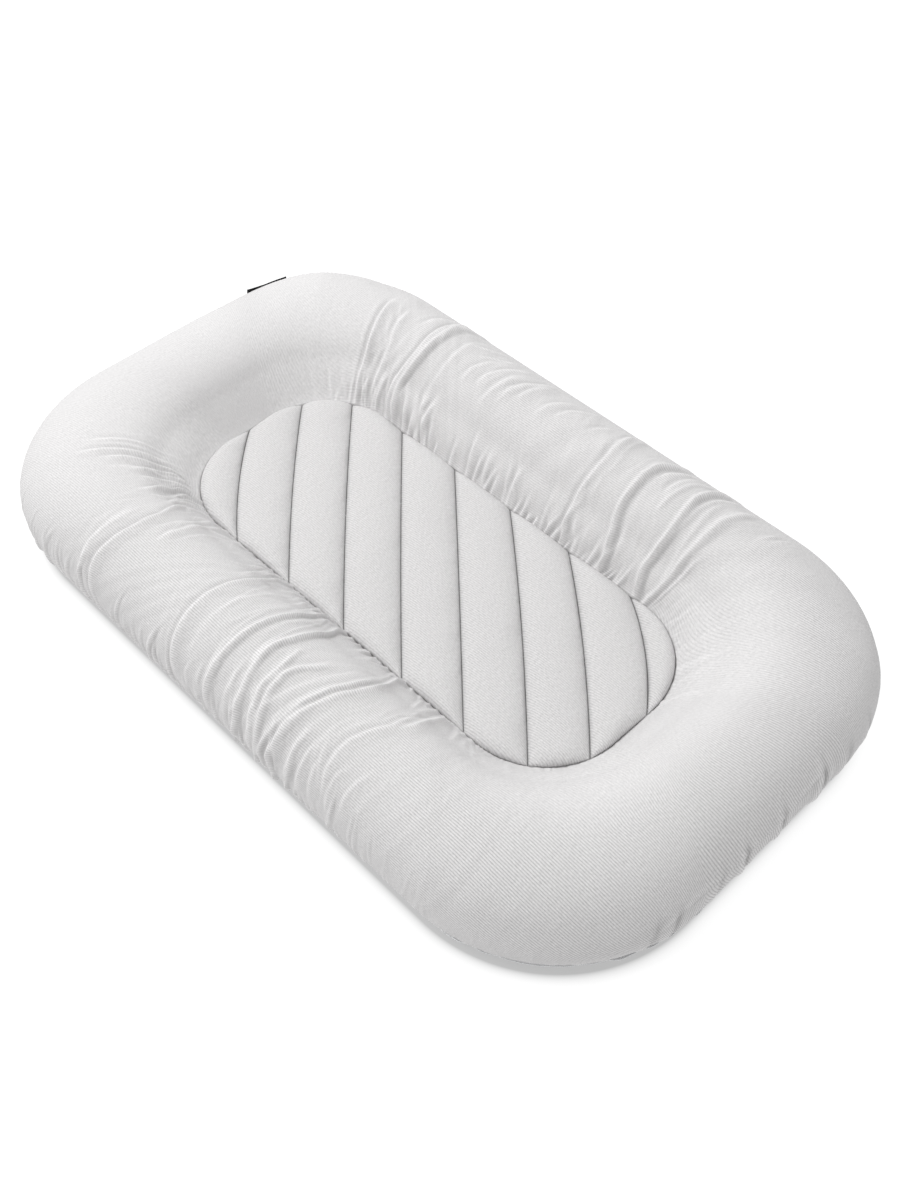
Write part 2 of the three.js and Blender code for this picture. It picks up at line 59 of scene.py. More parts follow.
bl_info = {
    "name": "Infant lounger",
    "version": (1, 0, 0),
    "blender": (4, 5, 0),
    "location": "3D View > Sidebar > Lounger",
    "description": "Builds the cloth, quilting, stitching and zip of an infant lounger on its frame",
    "category": "Add Mesh",
}

COVER_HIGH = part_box("bolster_cover")[1]
MM = 0.001
# A number too small to matter, which keeps a division or a test of zero sound.
NOTHING = 1e-9


# Settings -----------------------------------------------------------------------------

class LoungerSizes(bpy.types.PropertyGroup):
    """Sizes of the sewn parts."""

    station_step: bpy.props.FloatProperty(
        name="Station step", description="Length of the bolster's faces along the long sides",
        default=0.00125, min=0.0008, max=0.02, unit="LENGTH")
    row_step: bpy.props.FloatProperty(
        name="Row step", description="Length of the bolster's faces across the section",
        default=0.0021, min=0.001, max=0.02, unit="LENGTH")
    pad_step: bpy.props.FloatProperty(
        name="Pad step", description="Length of the quilted pad's faces",
        default=0.0012, min=0.0008, max=0.01, unit="LENGTH")
    fold_height: bpy.props.FloatProperty(
        name="Fold height", description="Height of the strongest gathers over the cloth round them",
        default=0.0036, min=0.0, max=0.008, unit="LENGTH")
    pucker_height: bpy.props.FloatProperty(
        name="Pucker height", description="Height of the small puckers along the seams",
        default=0.0011, min=0.0, max=0.003, unit="LENGTH")
    channel_crown: bpy.props.FloatProperty(
        name="Channel crown", description="Rise of each quilted channel over its stitch lines",
        default=0.0100, min=0.002, max=0.016, unit="LENGTH")
    rib_pitch: bpy.props.FloatProperty(
        name="Rib pitch", description="Distance between the ribs of the cloth",
        default=0.0021, min=0.001, max=0.006, unit="LENGTH")
    stitch_length: bpy.props.FloatProperty(
        name="Stitch length", description="Length of one visible stitch",
        default=0.0030, min=0.001, max=0.006, unit="LENGTH")
    stitch_pitch: bpy.props.FloatProperty(
        name="Stitch pitch", description="Distance from one stitch to the next",
        default=0.0041, min=0.002, max=0.008, unit="LENGTH")
    seed: bpy.props.IntProperty(
        name="Seed", description="Seed of the irregular puckers", default=7, min=0)


class LoungerColours(bpy.types.PropertyGroup):
    """Colours of the finishes."""

    cloth: bpy.props.FloatVectorProperty(
        name="Cloth", description="Ribbed cover cloth", subtype="COLOR", size=3,
        default=(0.655, 0.647, 0.648), min=0.0, max=1.0)
    thread: bpy.props.FloatVectorProperty(
        name="Thread", description="Stitching thread", subtype="COLOR", size=3,
        default=(0.60, 0.61, 0.63), min=0.0, max=1.0)
    underside: bpy.props.FloatVectorProperty(
        name="Underside", description="Base cloth", subtype="COLOR", size=3,
        default=(0.78, 0.785, 0.795), min=0.0, max=1.0)
    label: bpy.props.FloatVectorProperty(
        name="Label", description="Side label's satin", subtype="COLOR", size=3,
        default=(0.016, 0.016, 0.018), min=0.0, max=1.0)
    zip_plastic: bpy.props.FloatVectorProperty(
        name="Zip plastic", description="Moulded teeth, slider and stops", subtype="COLOR", size=3,
        default=(0.74, 0.745, 0.75), min=0.0, max=1.0)
    floor: bpy.props.FloatVectorProperty(
        name="Floor", description="Studio floor", subtype="COLOR", size=3,
        default=(0.16, 0.16, 0.16), min=0.0, max=1.0)


# Shape of the ring --------------------------------------------------------------------

# The outline, at the widest bulge of the bolster and at the inner seam.
HALF_WIDTH = COVER_HIGH.x / MM
HALF_LENGTH = COVER_HIGH.y / MM
OUTER_RADIUS = 156.0
INNER_RADIUS = 81.4
SIDE_BAND = 139.5
END_BAND = 146.5
SIDE_STRAIGHT = HALF_LENGTH - OUTER_RADIUS
END_STRAIGHT = HALF_WIDTH - OUTER_RADIUS
CORNER_RUN = OUTER_RADIUS * np.pi / 2
# Share of each corner, next to its long side, that has the long side's fine faces.
FINE_CORNER_SHARE = .55

# The section: an ellipse from the base seam over the crest, then a hollow to the inner seam.
CREST = COVER_HIGH.z / MM
SECTION_REACH = 58.5
BULGE_HEIGHT = 46.3
BASE_ANGLE = -43.5
HOLLOW_ANGLE = 150.0
HOLLOW_HANDLE = 14.0
SEAM_HANDLE = 12.0
SEAM_SLOPE = np.radians(36)
SEAM_INSET = 139.5
SEAM_HEIGHT = 36.6


def ellipse_point(degrees):
    """Inset and height of the bolster's ellipse: reach(1 - cos) and bulge + rise sin."""
    angle = np.radians(degrees)
    inset = SECTION_REACH * (1 - np.cos(angle))
    return inset, BULGE_HEIGHT + (CREST - BULGE_HEIGHT) * np.sin(angle)


def section_line(count=500):
    """Bolster section from the base seam to the inner seam, evenly spaced along its arc.

    It is the ellipse up to HOLLOW_ANGLE, then a Bezier curve that hollows into the inner seam.
    Returns insets, heights and the whole arc length.
    """
    inset, height = ellipse_point(np.linspace(BASE_ANGLE, HOLLOW_ANGLE, count))
    cap = np.column_stack([inset, height])
    run = cap[-1] - cap[-2]
    end = np.array([SEAM_INSET, SEAM_HEIGHT])
    handle_a = cap[-1] + HOLLOW_HANDLE * run / np.hypot(*run)
    handle_b = end - SEAM_HANDLE * np.array([np.cos(SEAM_SLOPE), -np.sin(SEAM_SLOPE)])
    q = np.linspace(0, 1, count // 3)[1:, None]
    hollow = (1 - q) ** 3 * cap[-1] + 3 * (1 - q) ** 2 * q * handle_a
    hollow = hollow + 3 * (1 - q) * q ** 2 * handle_b + q ** 3 * end
    line = np.vstack([cap, hollow])
    arc = np.concatenate([[0], np.cumsum(np.hypot(*np.diff(line, axis=0).T))])
    even = np.linspace(0, arc[-1], count)
    return np.interp(even, arc, line[:, 0]), np.interp(even, arc, line[:, 1]), arc[-1]


SECTION_INSET, SECTION_HEIGHT, SECTION_ARC = section_line()
CREST_SHARE = float(np.argmax(SECTION_HEIGHT)) / (len(SECTION_HEIGHT) - 1)


def section_at(share):
    """Inset and height of the section at a share of its arc from the base seam."""
    place = np.linspace(0, 1, len(SECTION_INSET))
    return np.interp(share, place, SECTION_INSET), np.interp(share, place, SECTION_HEIGHT)


def ring_stations(side_step, end_step):
    """Stations round the ring, counter-clockwise from the foot of the +X side.

    Each has shares fx and fy of the straights, the turn of its outward direction in radians,
    its address and its side, which is 1 for the far one and -1 for the near one.
    """
    pieces = []

    def straight(fx0, fy0, fx1, fy1, angle, length, step):
        """Even stations along one straight part."""
        count = max(int(round(length / step)), 2)
        q = np.arange(count) / count
        pieces.append((fx0 + (fx1 - fx0) * q, fy0 + (fy1 - fy0) * q, np.full(count, float(angle))))

    def corner(fx, fy, start, fine_first):
        """Stations round one corner, finer at the end that meets a gathered side."""
        fine = max(int(round(CORNER_RUN * FINE_CORNER_SHARE / side_step)), 2)
        coarse = max(int(round(CORNER_RUN * (1 - FINE_CORNER_SHARE) / end_step)), 2)
        first, second = (fine, coarse) if fine_first else (coarse, fine)
        split = FINE_CORNER_SHARE if fine_first else 1 - FINE_CORNER_SHARE
        q = np.concatenate([split * np.arange(first) / first,
                            split + (1 - split) * np.arange(second) / second])
        pieces.append((np.full(len(q), float(fx)), np.full(len(q), float(fy)), start + 90 * q))

    straight(1, -1, 1, 1, 0, 2 * SIDE_STRAIGHT, side_step)
    corner(1, 1, 0, True)
    straight(1, 1, -1, 1, 90, 2 * END_STRAIGHT, end_step)
    corner(-1, 1, 90, False)
    straight(-1, 1, -1, -1, 180, 2 * SIDE_STRAIGHT, side_step)
    corner(-1, -1, 180, True)
    straight(-1, -1, 1, -1, 270, 2 * END_STRAIGHT, end_step)
    corner(1, -1, 270, False)
    fx, fy, angle = (np.concatenate(part) for part in zip(*pieces))
    turn = np.radians(angle)
    sine = np.sin(turn)
    lean = np.arcsin(np.clip(np.abs(sine), 0, 1))
    end_part = np.isclose(np.abs(sine), 1)
    along = np.abs(fy) * SIDE_STRAIGHT + OUTER_RADIUS * lean
    along = along + np.where(end_part, END_STRAIGHT * (1 - np.abs(fx)), 0)
    on_side = np.abs(sine) <= NOTHING
    sign = np.where(on_side, np.sign(fy), np.sign(sine))
    address = np.where(on_side, fy * SIDE_STRAIGHT, sign * along)
    side = np.where(end_part, np.where(fx >= 0, 1, -1), np.where(np.cos(turn) > 0, 1, -1))
    return {"fx": fx, "fy": fy, "turn": turn, "address": address, "side": side}


def rounded_rectangle(inset):
    """Half width, half length and corner radius at an inset, which all shrink in step with it."""
    share = inset / SIDE_BAND
    return (HALF_WIDTH - share * SIDE_BAND, HALF_LENGTH - share * END_BAND,
            OUTER_RADIUS + (INNER_RADIUS - OUTER_RADIUS) * share)


def ring_points(stations, inset, height):
    """Points of rounded rectangles: the corner's centre plus its radius along the turn.

    stations have n entries, inset and height n x m; the result is n x m x 3.
    """
    half_x, half_y, radius = rounded_rectangle(inset)
    turn = stations["turn"][:, None]
    x = stations["fx"][:, None] * (half_x - radius) + radius * np.cos(turn)
    y = stations["fy"][:, None] * (half_y - radius) + radius * np.sin(turn)
    return np.stack([x, y, height + 0 * x], axis=-1)


def surface_normals(points, closed):
    """Unit normals of a grid surface from its central differences, outward for the ring."""
    if closed:
        du = np.roll(points, -1, axis=0) - np.roll(points, 1, axis=0)
    else:
        du = np.gradient(points, axis=0)
    dv = np.gradient(points, axis=1)
    normal = np.cross(du, dv)
    return normal / np.maximum(np.linalg.norm(normal, axis=-1, keepdims=True), NOTHING)


def smooth_step(value, low, high):
    """Eases from 0 at low to 1 at high."""
    q = np.clip((value - low) / (high - low), 0, 1)
    return q * q * (3 - 2 * q)


def wandering(place, period, seed):
    """Smooth irregular wave between -1 and 1: seeded values joined by cosine steps."""
    values = np.random.default_rng(seed).uniform(-1, 1, 4096)
    cell = np.floor(place / period).astype(int)
    q = place / period - cell
    q = q * q * (3 - 2 * q)
    return values[cell % 4096] * (1 - q) + values[(cell + 1) % 4096] * q


# Gathers ------------------------------------------------------------------------------

# Each gather is a line of (address in mm, share of the section's arc) from the inner seam down,
# then its height share, its width in mm and the side its valley lies on.
NEAR_GATHERS = [
    ([(-210, 1.0), (-197.5, .95), (-195, .85), (-194, .75), (-190, .69), (-180, .63)],
     .85, 4.2, 1),
    ([(-182, .72), (-172.5, .62), (-157.5, .55), (-145, .48), (-140, .42), (-138, .35),
      (-143, .25)], .45, 2.6, 1),
    ([(-168, 1.0), (-162, .93), (-167, .85), (-172, .77)], .4, 3.0, 1),
    ([(-125, 1.0), (-121.5, .93), (-126, .85), (-131, .77), (-130, .7), (-122, .63), (-110, .57),
      (-100, .5), (-88.5, .43), (-82.5, .37), (-80, .28), (-73, .18)], 1.0, 3.6, 1),
    ([(-119, .76), (-117, .7), (-110, .63), (-98, .555), (-86, .47), (-77, .38), (-70, .28),
      (-63, .17)], .75, 3.0, -1),
    ([(-80, .66), (-72, .6), (-60, .55), (-53, .5), (-52, .42), (-57, .34), (-61, .26),
      (-61, .16)], .75, 3.2, -1),
    ([(-44, .62), (-46, .52), (-43, .42), (-48, .33), (-52, .24), (-53, .15)], .8, 3.0, -1),
    ([(-16, 1.0), (-17, .93), (-27, .85), (-34.5, .77), (-34, .7), (-30, .62), (-24, .56),
      (-22.5, .5), (-26, .42), (-30, .35), (-32.5, .25), (-36, .13)], 1.0, 3.2, -1),
    ([(6, 1.0), (10, .93), (6, .87), (1, .78), (1, .7), (5, .6), (7.5, .5), (8.5, .4), (7.5, .3),
      (5, .17)], 1.0, 3.2, -1),
    ([(21, 1.0), (25, .92), (17.5, .87), (10, .78), (7, .71)], .6, 2.8, 1),
    ([(34, 1.0), (40, .93), (34, .88), (27, .82)], .5, 2.6, 1),
    ([(46, 1.0), (50, .92), (43, .87), (38, .83)], .45, 2.4, 1),
    ([(71, 1.0), (66, .92), (58, .87)], .35, 2.4, 1),
    ([(87, 1.0), (88.5, .9), (80, .84), (72.5, .77), (69, .7), (70, .6), (68, .5), (62.5, .4),
      (55, .3), (47, .2)], .9, 3.3, 1),
    ([(106, 1.0), (110, .93), (102, .87), (92.5, .8), (87.5, .75), (85, .69)], .75, 3.0, 1),
    ([(127, 1.0), (130, .94), (125, .9), (119, .86)], .4, 2.6, 1),
    ([(206, 1.0), (210, .93), (202, .88), (190, .8), (180, .72), (170, .65), (162, .55)],
     .6, 3.2, 1),
    ([(224, 1.0), (227, .95), (220, .9), (205, .82), (192, .75), (184, .68)], .6, 3.2, 1),
    ([(252, .88), (230, .76), (203, .647), (190, .532), (185, .43), (182, .353), (176, .277),
      (169, .19)], .9, 3.0, 1),
    ([(336, .95), (337, .872), (324, .787), (308, .685)], .8, 3.0, 1),
    ([(259, 1.0), (257, .93), (245, .86), (225, .8)], .6, 3.0, 1),
    ([(274, 1.0), (277, .95), (267, .88), (252, .8), (235, .74)], .7, 3.0, 1),
    ([(289, 1.0), (285, .92), (272, .86), (255, .8), (240, .75)], .6, 2.8, 1),
    ([(306, 1.0), (310, .93), (300, .87), (285, .82), (277, .76), (262, .69)], 1.35, 3.6, 1),
    ([(326, .96), (317, .86), (305, .79), (292, .7)], .75, 3.0, 1),
    ([(347, .93), (345, .85), (337, .78), (330, .68), (322, .6)], .8, 3.0, 1),
    ([(358, .84), (352, .78), (345, .7), (336, .6), (330, .52)], .7, 2.8, 1),
    ([(372, .82), (366, .72), (356, .62), (350, .55)], .55, 2.8, 1),
    ([(338, .97), (333, .9), (326, .84)], .5, 2.4, 1),
    ([(300, .97), (296, .91), (288, .86)], .5, 2.4, 1),
    ([(-180, .46), (-170, .4), (-163, .33), (-162, .24)], .35, 2.3, 1),
    ([(-160, .43), (-150, .38), (-146, .3), (-148, .2)], .35, 2.3, 1),
    ([(-120, .43), (-115, .35), (-112, .25), (-110, .16)], .45, 2.3, 1),
    ([(-108, .43), (-102, .35), (-100, .27), (-95, .17)], .5, 2.3, -1),
    ([(-128, .4), (-126, .3), (-126, .18)], .3, 2.2, 1),
    ([(-15, .4), (-18, .28), (-20, .14)], .35, 2.3, -1),
    ([(20, .36), (18, .27), (14, .15)], .4, 2.3, -1),
    ([(30, .33), (34, .25), (30, .15)], .35, 2.2, 1),
]
FAR_GATHERS = [
    ([(-245, 1.0), (-240, .85), (-232, .72), (-222, .62), (-215, .55), (-212, .44), (-215, .28),
      (-222, .12)], .55, 3.0, -1),
    ([(-229, 1.0), (-217, .93), (-207, .87), (-204, .8), (-200, .73), (-192, .66), (-184, .6),
      (-176, .54), (-174, .46), (-178, .34), (-186, .2), (-190, .08)], 1.0, 3.2, -1),
    ([(-170, 1.0), (-162, .93), (-155, .87), (-142, .8), (-132, .73), (-125, .65), (-118, .57),
      (-115, .5), (-121, .44), (-126, .3), (-132, .14)], 1.0, 3.2, -1),
    ([(-158, .95), (-150, .85), (-144, .78)], .5, 2.8, -1),
    ([(-122, 1.0), (-116, .95), (-104, .9), (-96, .84)], .45, 3.4, 1),
    ([(-103, 1.0), (-93, .93), (-87, .87), (-82, .8), (-79, .7), (-74, .6), (-67, .52), (-64, .4),
      (-70, .22)], .7, 3.0, 1),
    ([(-75, 1.0), (-70, .93), (-69, .88)], .4, 3.0, 1),
    ([(-154, .62), (-149, .55), (-147, .48), (-150, .38)], .45, 2.4, 1),
    ([(-130, .56), (-132, .5), (-138, .44), (-146, .3), (-150, .14)], .45, 2.6, 1),
    ([(80, .66), (75, .58), (65, .52), (53, .47), (42, .38), (36, .26)], .5, 3.0, 1),
    ([(62, .62), (56, .54), (48, .48), (36, .42)], .4, 2.6, 1),
    ([(162, 1.0), (167, .93), (165, .85), (161, .78)], .75, 3.0, 1),
    ([(172, 1.0), (176, .93), (177.5, .85), (177, .78)], .7, 2.8, -1),
    ([(198, 1.0), (205, .92), (208, .87)], .4, 2.8, -1),
    ([(225, 1.0), (226, .9), (225, .82), (215, .75), (205, .68), (197, .6), (190, .53),
      (180, .46), (162, .36), (140, .25), (126, .14)], .8, 3.0, -1),
    ([(233, 1.0), (235, .9), (232, .82), (222, .75), (212, .68), (205, .6), (197, .53),
      (187, .46), (170, .36), (150, .25), (137, .12)], .85, 3.0, 1),
    ([(280, .97), (272, .85), (262, .75), (260, .65), (250, .52)], .5, 3.4, 1),
    ([(312, 1.0), (307, .9), (300, .8), (295, .72), (288, .62), (276, .5)], 1.0, 3.4, 1),
    ([(165, .52), (150, .49), (135, .46), (112, .38), (97, .24)], .5, 2.5, 1),
    ([(140, .54), (122, .49), (104, .46), (86, .36)], .4, 2.4, 1),
    ([(250, .9), (244, .8), (238, .72)], .3, 3.0, 1),
    ([(118, .66), (110, .58), (98, .52), (84, .47), (72, .4)], .45, 2.6, 1),
    ([(100, .72), (95, .63), (86, .56), (74, .5)], .3, 2.6, 1),
    ([(30, .62), (26, .54), (16, .48), (4, .4)], .4, 2.8, 1),
    ([(140, .68), (132, .59), (119, .52), (104, .47)], .4, 2.6, 1),
    ([(10, .58), (4, .51), (-8, .45), (-18, .36)], .35, 2.6, 1),
    ([(-30, .56), (-34, .5), (-42, .44), (-50, .34)], .35, 2.6, 1),
    ([(300, .99), (294, .92), (286, .86)], .4, 2.4, 1),
    ([(268, 1.0), (262, .92), (254, .84), (246, .78)], .45, 2.6, -1),
    ([(192, .99), (190, .92), (186, .86)], .4, 2.4, 1),
    ([(150, .99), (153, .93), (152, .88)], .4, 2.4, 1),
    ([(-262, .52), (-259, .44), (-262, .3)], .35, 2.4, 1),
    ([(-253, .54), (-250, .44), (-254, .3)], .35, 2.4, -1),
]

# Each tuck is a place where the hem is caught: side, address, the drift and share of its top,
# and its height share.
TUCKS = [
    (1, -521, 9, .36, 1.0), (1, -571, 3, .33, .75), (-1, -541, 2, .32, .85),
    (-1, -505, -6, .22, .35), (-1, -456, -8, .27, .6), (-1, -436, -6, .22, .45),
    (1, -488, 10, .28, .45), (1, -452, 9, .30, .4),
    (1, -405, 8, .26, .35),
]

# What differs between the long sides. Gathers have a factor on their height, a spread on their
# width and a cusp, the power that makes their ridges sharp. Puckers and streaks have factors on
# their heights, slants and lengths. Streaks lie within streak_window of streak_middle.
NEAR = SimpleNamespace(
    flank=-1, gathers=NEAR_GATHERS, height=.92, spread=.82, cusp=1.3, pucker=1.7, slant=1,
    streak=2.0, streak_length=1.1, streak_middle=50, streak_window=250, swell=.55)
FAR = SimpleNamespace(
    flank=1, gathers=FAR_GATHERS, height=1.2, spread=1.15, cusp=1.6, pucker=2.5, slant=-.75,
    streak=.6, streak_length=1, streak_middle=20, streak_window=200, swell=1.0)

# Ridge and valley of one pucker and one streak: how far from its spot it is worked out, then the
# ridge's height and power and the valley's depth and place.
PUCKER_FORM = (30, 1, 1.6, .4, 1.7)
STREAK_FORM = (34, .75, 1.5, .8, -1.6)
# The run from the middle of a side over which puckers are spread.
PUCKER_RUN = 560
# Keeps the far side's seeded waves apart from the near side's.
FAR_SHIFT = 5000.0
# The lowest the cover may lie against its smooth section, because the casing lies under it.
LOWEST_RELIEF = -1.5


def eased_line(points, share):
    """A gather's address at each share: its points joined, then eased by a sliding mean."""
    points = sorted(points, key=lambda p: p[1])
    place = np.linspace(0, 1, 801)
    address = np.interp(place, [p[1] for p in points], [p[0] for p in points])
    window = np.hanning(43)
    padded = np.pad(address, 21, mode="edge")
    eased = np.convolve(padded, window / window.sum(), mode="valid")
    return np.interp(share, place, eased)


def add_gather(height, address, share, gather, strength, spread, cusp):
    """Adds one gather: a ridge of a given spread and cusp on a low skirt, with a valley beside it.

    Across the fold at d widths it is 0.72 exp(-|d|^cusp) + 0.38 exp(-(d / 3.2)^2)
    - 0.34 exp(-((d - 2.1 lean) / 1.1)^2).
    """
    points, rise, width, lean = gather
    width = spread * width
    low = min(p[1] for p in points)
    high = max(p[1] for p in points)
    line = eased_line(points, share)
    reach = smooth_step(share, low - .02, low + .08)
    if high < .99:
        reach = reach * (1 - smooth_step(share, high - .08, high + .02))
    else:
        reach = reach * (1 - .5 * smooth_step(share, .95, 1.0))
    rows = np.nonzero((address > line.min() - 10 * width) & (address < line.max() + 10 * width))[0]
    columns = np.nonzero(reach > 0)[0]
    if not len(rows) or not len(columns):
        return
    d = (address[rows][:, None] - line[columns][None, :]) / width
    ridge = .72 * np.exp(-np.abs(d) ** cusp) + .38 * np.exp(-(d / 3.2) ** 2)
    valley = .34 * np.exp(-((d - 2.1 * lean) / 1.1) ** 2)
    height[np.ix_(rows, columns)] += strength * rise * reach[columns][None, :] * (ridge - valley)


def add_tuck(height, address, share, side, tuck):
    """Adds one tuck at the hem: a swell on either side of a narrow valley that fades upwards.

    Across the tuck at d millimetres it is 2.6 exp(-((d + 5) / 4.5)^2)
    + 1.2 exp(-((d - 5) / 5)^2) - 2.4 exp(-|d / 1.7|).
    """
    flank, spot, drift, top, strength = tuck
    reach = 1 - smooth_step(share, .3 * top, top)
    line = spot + drift * (share / top) ** 1.5
    d = (address[:, None] - line[None, :]) * flank
    swells = 2.6 * np.exp(-((d + 5) / 4.5) ** 2) + 1.2 * np.exp(-((d - 5) / 5) ** 2)
    near = swells - 2.4 * np.exp(-np.abs(d / 1.7))
    height += np.where((side == flank)[:, None], strength * reach[None, :] * near, 0)


def tuck_shade(address, share, side):
    """Painted shade in a tuck's valley and the pit at its foot: how deep in it each point lies, from
    0 to 1.
    """
    shade = np.zeros((len(address), len(share)))
    for flank, spot, drift, top, strength in TUCKS:
        reach = 1 - smooth_step(share, .45 * top, top)
        line = spot + drift * (share / top) ** 1.5
        d = (address[:, None] - line[None, :]) * flank - .4
        low = smooth_step(share, .1, .17) * (1 - smooth_step(share, .2, .29))
        pit = 1.2 * np.exp(-((d + 1) / 3.4) ** 2) * low[None, :]
        near = np.maximum(reach[None, :] * np.exp(-(d / 1.5) ** 2), pit)
        shade = np.maximum(shade, np.where((side == flank)[:, None], strength * near, 0))
    return shade


def followers(gathers, seed):
    """Seeded finer folds that run beside each gather for part of its way."""
    rng = np.random.default_rng(seed)
    made = []
    for points, rise, _, lean in gathers:
        low = min(p[1] for p in points)
        high = max(p[1] for p in points)
        count = 6 if high - low > .3 else 2
        for k in range(count):
            far = k % 2
            offset = (rng.uniform(18, 55) if far else rng.uniform(5, 20)) * rng.choice((-1, 1))
            span = (high - low) * rng.uniform(.25, .7)
            at_an_end = rng.uniform() <= .45
            start = rng.choice((low, high - span)) if at_an_end else rng.uniform(low, high - span)
            drift = rng.uniform(-24, 24)
            places = np.linspace(start, start + span, 7)
            middle = eased_line(points, places)
            shifted = middle + offset + drift * (places - places.mean()) / max(span, .2)
            top = rng.uniform(.08, .2) if far else rng.uniform(.12, .34)
            made.append((list(zip(shifted, places)), top * (.5 + .5 * rise),
                         rng.uniform(1.8, 3.0 + far), lean))
    return made


def spots_along(steps):
    """Addresses along a side, each one step on from the last."""
    spots = np.cumsum(steps) - PUCKER_RUN
    return spots[spots < PUCKER_RUN]


def side_window(spot, middle, half):
    """1 along the middle of a side, and 0 past half of it: exp(-(|spot - middle| / half)^6)."""
    return np.exp(-(np.abs(spot - middle) / half) ** 6)


def add_pucker(height, rows, place, spot, line, width, rise, form):
    """Adds one short ridge with a valley beside it along its own line.

    At d widths from the line it is ridge exp(-|d|^power) - valley exp(-(d - shift)^2), times rise.
    """
    limit, ridge, power, valley, shift = form
    near = np.abs(place - spot) < limit
    d = (place[near][:, None] - line[None, :]) / width
    across = ridge * np.exp(-np.abs(d) ** power) - valley * np.exp(-(d - shift) ** 2)
    height[rows[near]] += rise[None, :] * across


def pucker_field(address, side, share, strength, seed):
    """Seeded puckers at the inner seam and streaks at the base seam, n x m.

    A pucker's line runs from its spot by a slant times the share and a bend times its square,
    and fades along its length. The streaks are shorter, straight and close together.
    """
    rng = np.random.default_rng(seed)
    height = np.zeros((len(address), len(share)))
    for form in (NEAR, FAR):
        rows = np.nonzero(side == form.flank)[0]
        place = address[rows]
        for spot in spots_along(3.4 + rng.exponential(6.6, 200)):
            window = side_window(spot, 20, 250)
            length = .045 + .3 * rng.uniform() ** 2.2
            floor = .2 * (1 - smooth_step(spot, 375, 425))
            top = rng.uniform(.35, 1.0) * strength * (floor + (1 - floor) * window) * form.pucker
            slant = rng.uniform(-60, 130) * form.slant
            bend = rng.uniform(-160, 160)
            width = rng.uniform(1.5, 3.0) + 6 * length
            line = spot - slant * (1 - share) + bend * (1 - share) ** 2
            reach = 1 - smooth_step(1 - share, .2 * length, length)
            add_pucker(height, rows, place, spot, line, width, top * reach, PUCKER_FORM)
        for spot in spots_along(rng.uniform(4, 9.5, 180)):
            window = side_window(spot, form.streak_middle, form.streak_window)
            top = rng.uniform(.3, 1.5) * strength * (.1 + .9 * window) * form.streak
            length = rng.uniform(.14, .36) * form.streak_length
            line = spot + rng.uniform(-50, 60) * share
            width = rng.uniform(1.2, 2.2)
            reach = 1 - smooth_step(share, .45 * length, length)
            add_pucker(height, rows, place, spot, line, width, top * reach, STREAK_FORM)
    return height


# The folded upper edge of the zip's flap: runs along the foot from its middle, positive to the
# near side, and the share of the arc at each.
FLAP_RUNS = [-60, -48, -24, 2, 51, 75, 98, 118, 135, 151]
FLAP_SHARES = [.243, .24, .228, .216, .216, .225, .238, .23, .195, .175]
FOOT_MIDDLE = 578


def flap_line(address, side):
    """Share of the arc at which the flap's edge lies, and how strong it is, at each station."""
    along = np.where(side > 0, -FOOT_MIDDLE - address, FOOT_MIDDLE + address)
    place = np.interp(along, FLAP_RUNS, FLAP_SHARES)
    strength = smooth_step(along, -57, -50) * (1 - smooth_step(along, 100, 150))
    return place, np.where(address < 0, strength, 0)


def flap_relief(address, side, share):
    """The flap's fold: a low swell above its line and a step inwards under it, and its painted
    shade.

    At d millimetres over the line the swell is 1.1 exp(-((d - 3.2)/3)^2), and the painted shade is
    exp(-((d + 0.4)/1.3)^2). The step of 0.9 eases out again 26 to 8 millimetres under the line.
    """
    place, strength = flap_line(address, side)
    d = (share[None, :] - place[:, None]) * SECTION_ARC
    swell = 1.1 * np.exp(-((d - 3.2) / 3) ** 2)
    step = swell - .9 * (1 - smooth_step(d, -1.2, .6)) * smooth_step(d, -26, -8)
    return strength[:, None] * step, strength[:, None] * np.exp(-((d + .4) / 1.3) ** 2)


def outline_trim(address, side, share):
    """Broad swells and hollows of the far side's filling, in millimetres.

    A hollow of 2.4 along the lower slope, a swell of 4.6 at the head's corner and a hollow of
    1.5 along the head, each a bell over its own shares of the arc.
    """
    low = smooth_step(address, -400, -320) * (1 - smooth_step(address, 290, 345))
    trim = -2.4 * low[:, None] * np.exp(-((share - .3) / .15) ** 4)[None, :]
    corner = np.exp(-((address - 383) / 46) ** 2)
    trim += 4.6 * corner[:, None] * np.exp(-((share - .4) / .17) ** 2)[None, :]
    head = smooth_step(address, 425, 480)
    trim -= 1.5 * head[:, None] * np.exp(-((share - .42) / .22) ** 4)[None, :]
    return np.where((side > 0)[:, None], trim, 0)


def gathered_height(address, side, share, sizes):
    """The placed gathers of both sides and their followers, n x m, in millimetres."""
    height = np.zeros((len(address), len(share)))
    for form in (NEAR, FAR):
        rows = np.nonzero(side == form.flank)[0]
        part = np.zeros((len(rows), len(share)))
        for gather in form.gathers + followers(form.gathers, sizes.seed + 31 + form.flank):
            add_gather(part, address[rows], share, gather, sizes.fold_height / MM,
                       form.spread, form.cusp)
        part *= form.height
        if form is FAR:
            # The far side's gathers fade on its outer slope.
            part *= (1 - .8 * np.exp(-((share - .27) / .14) ** 4))[None, :]
        height[rows] += part
    return height


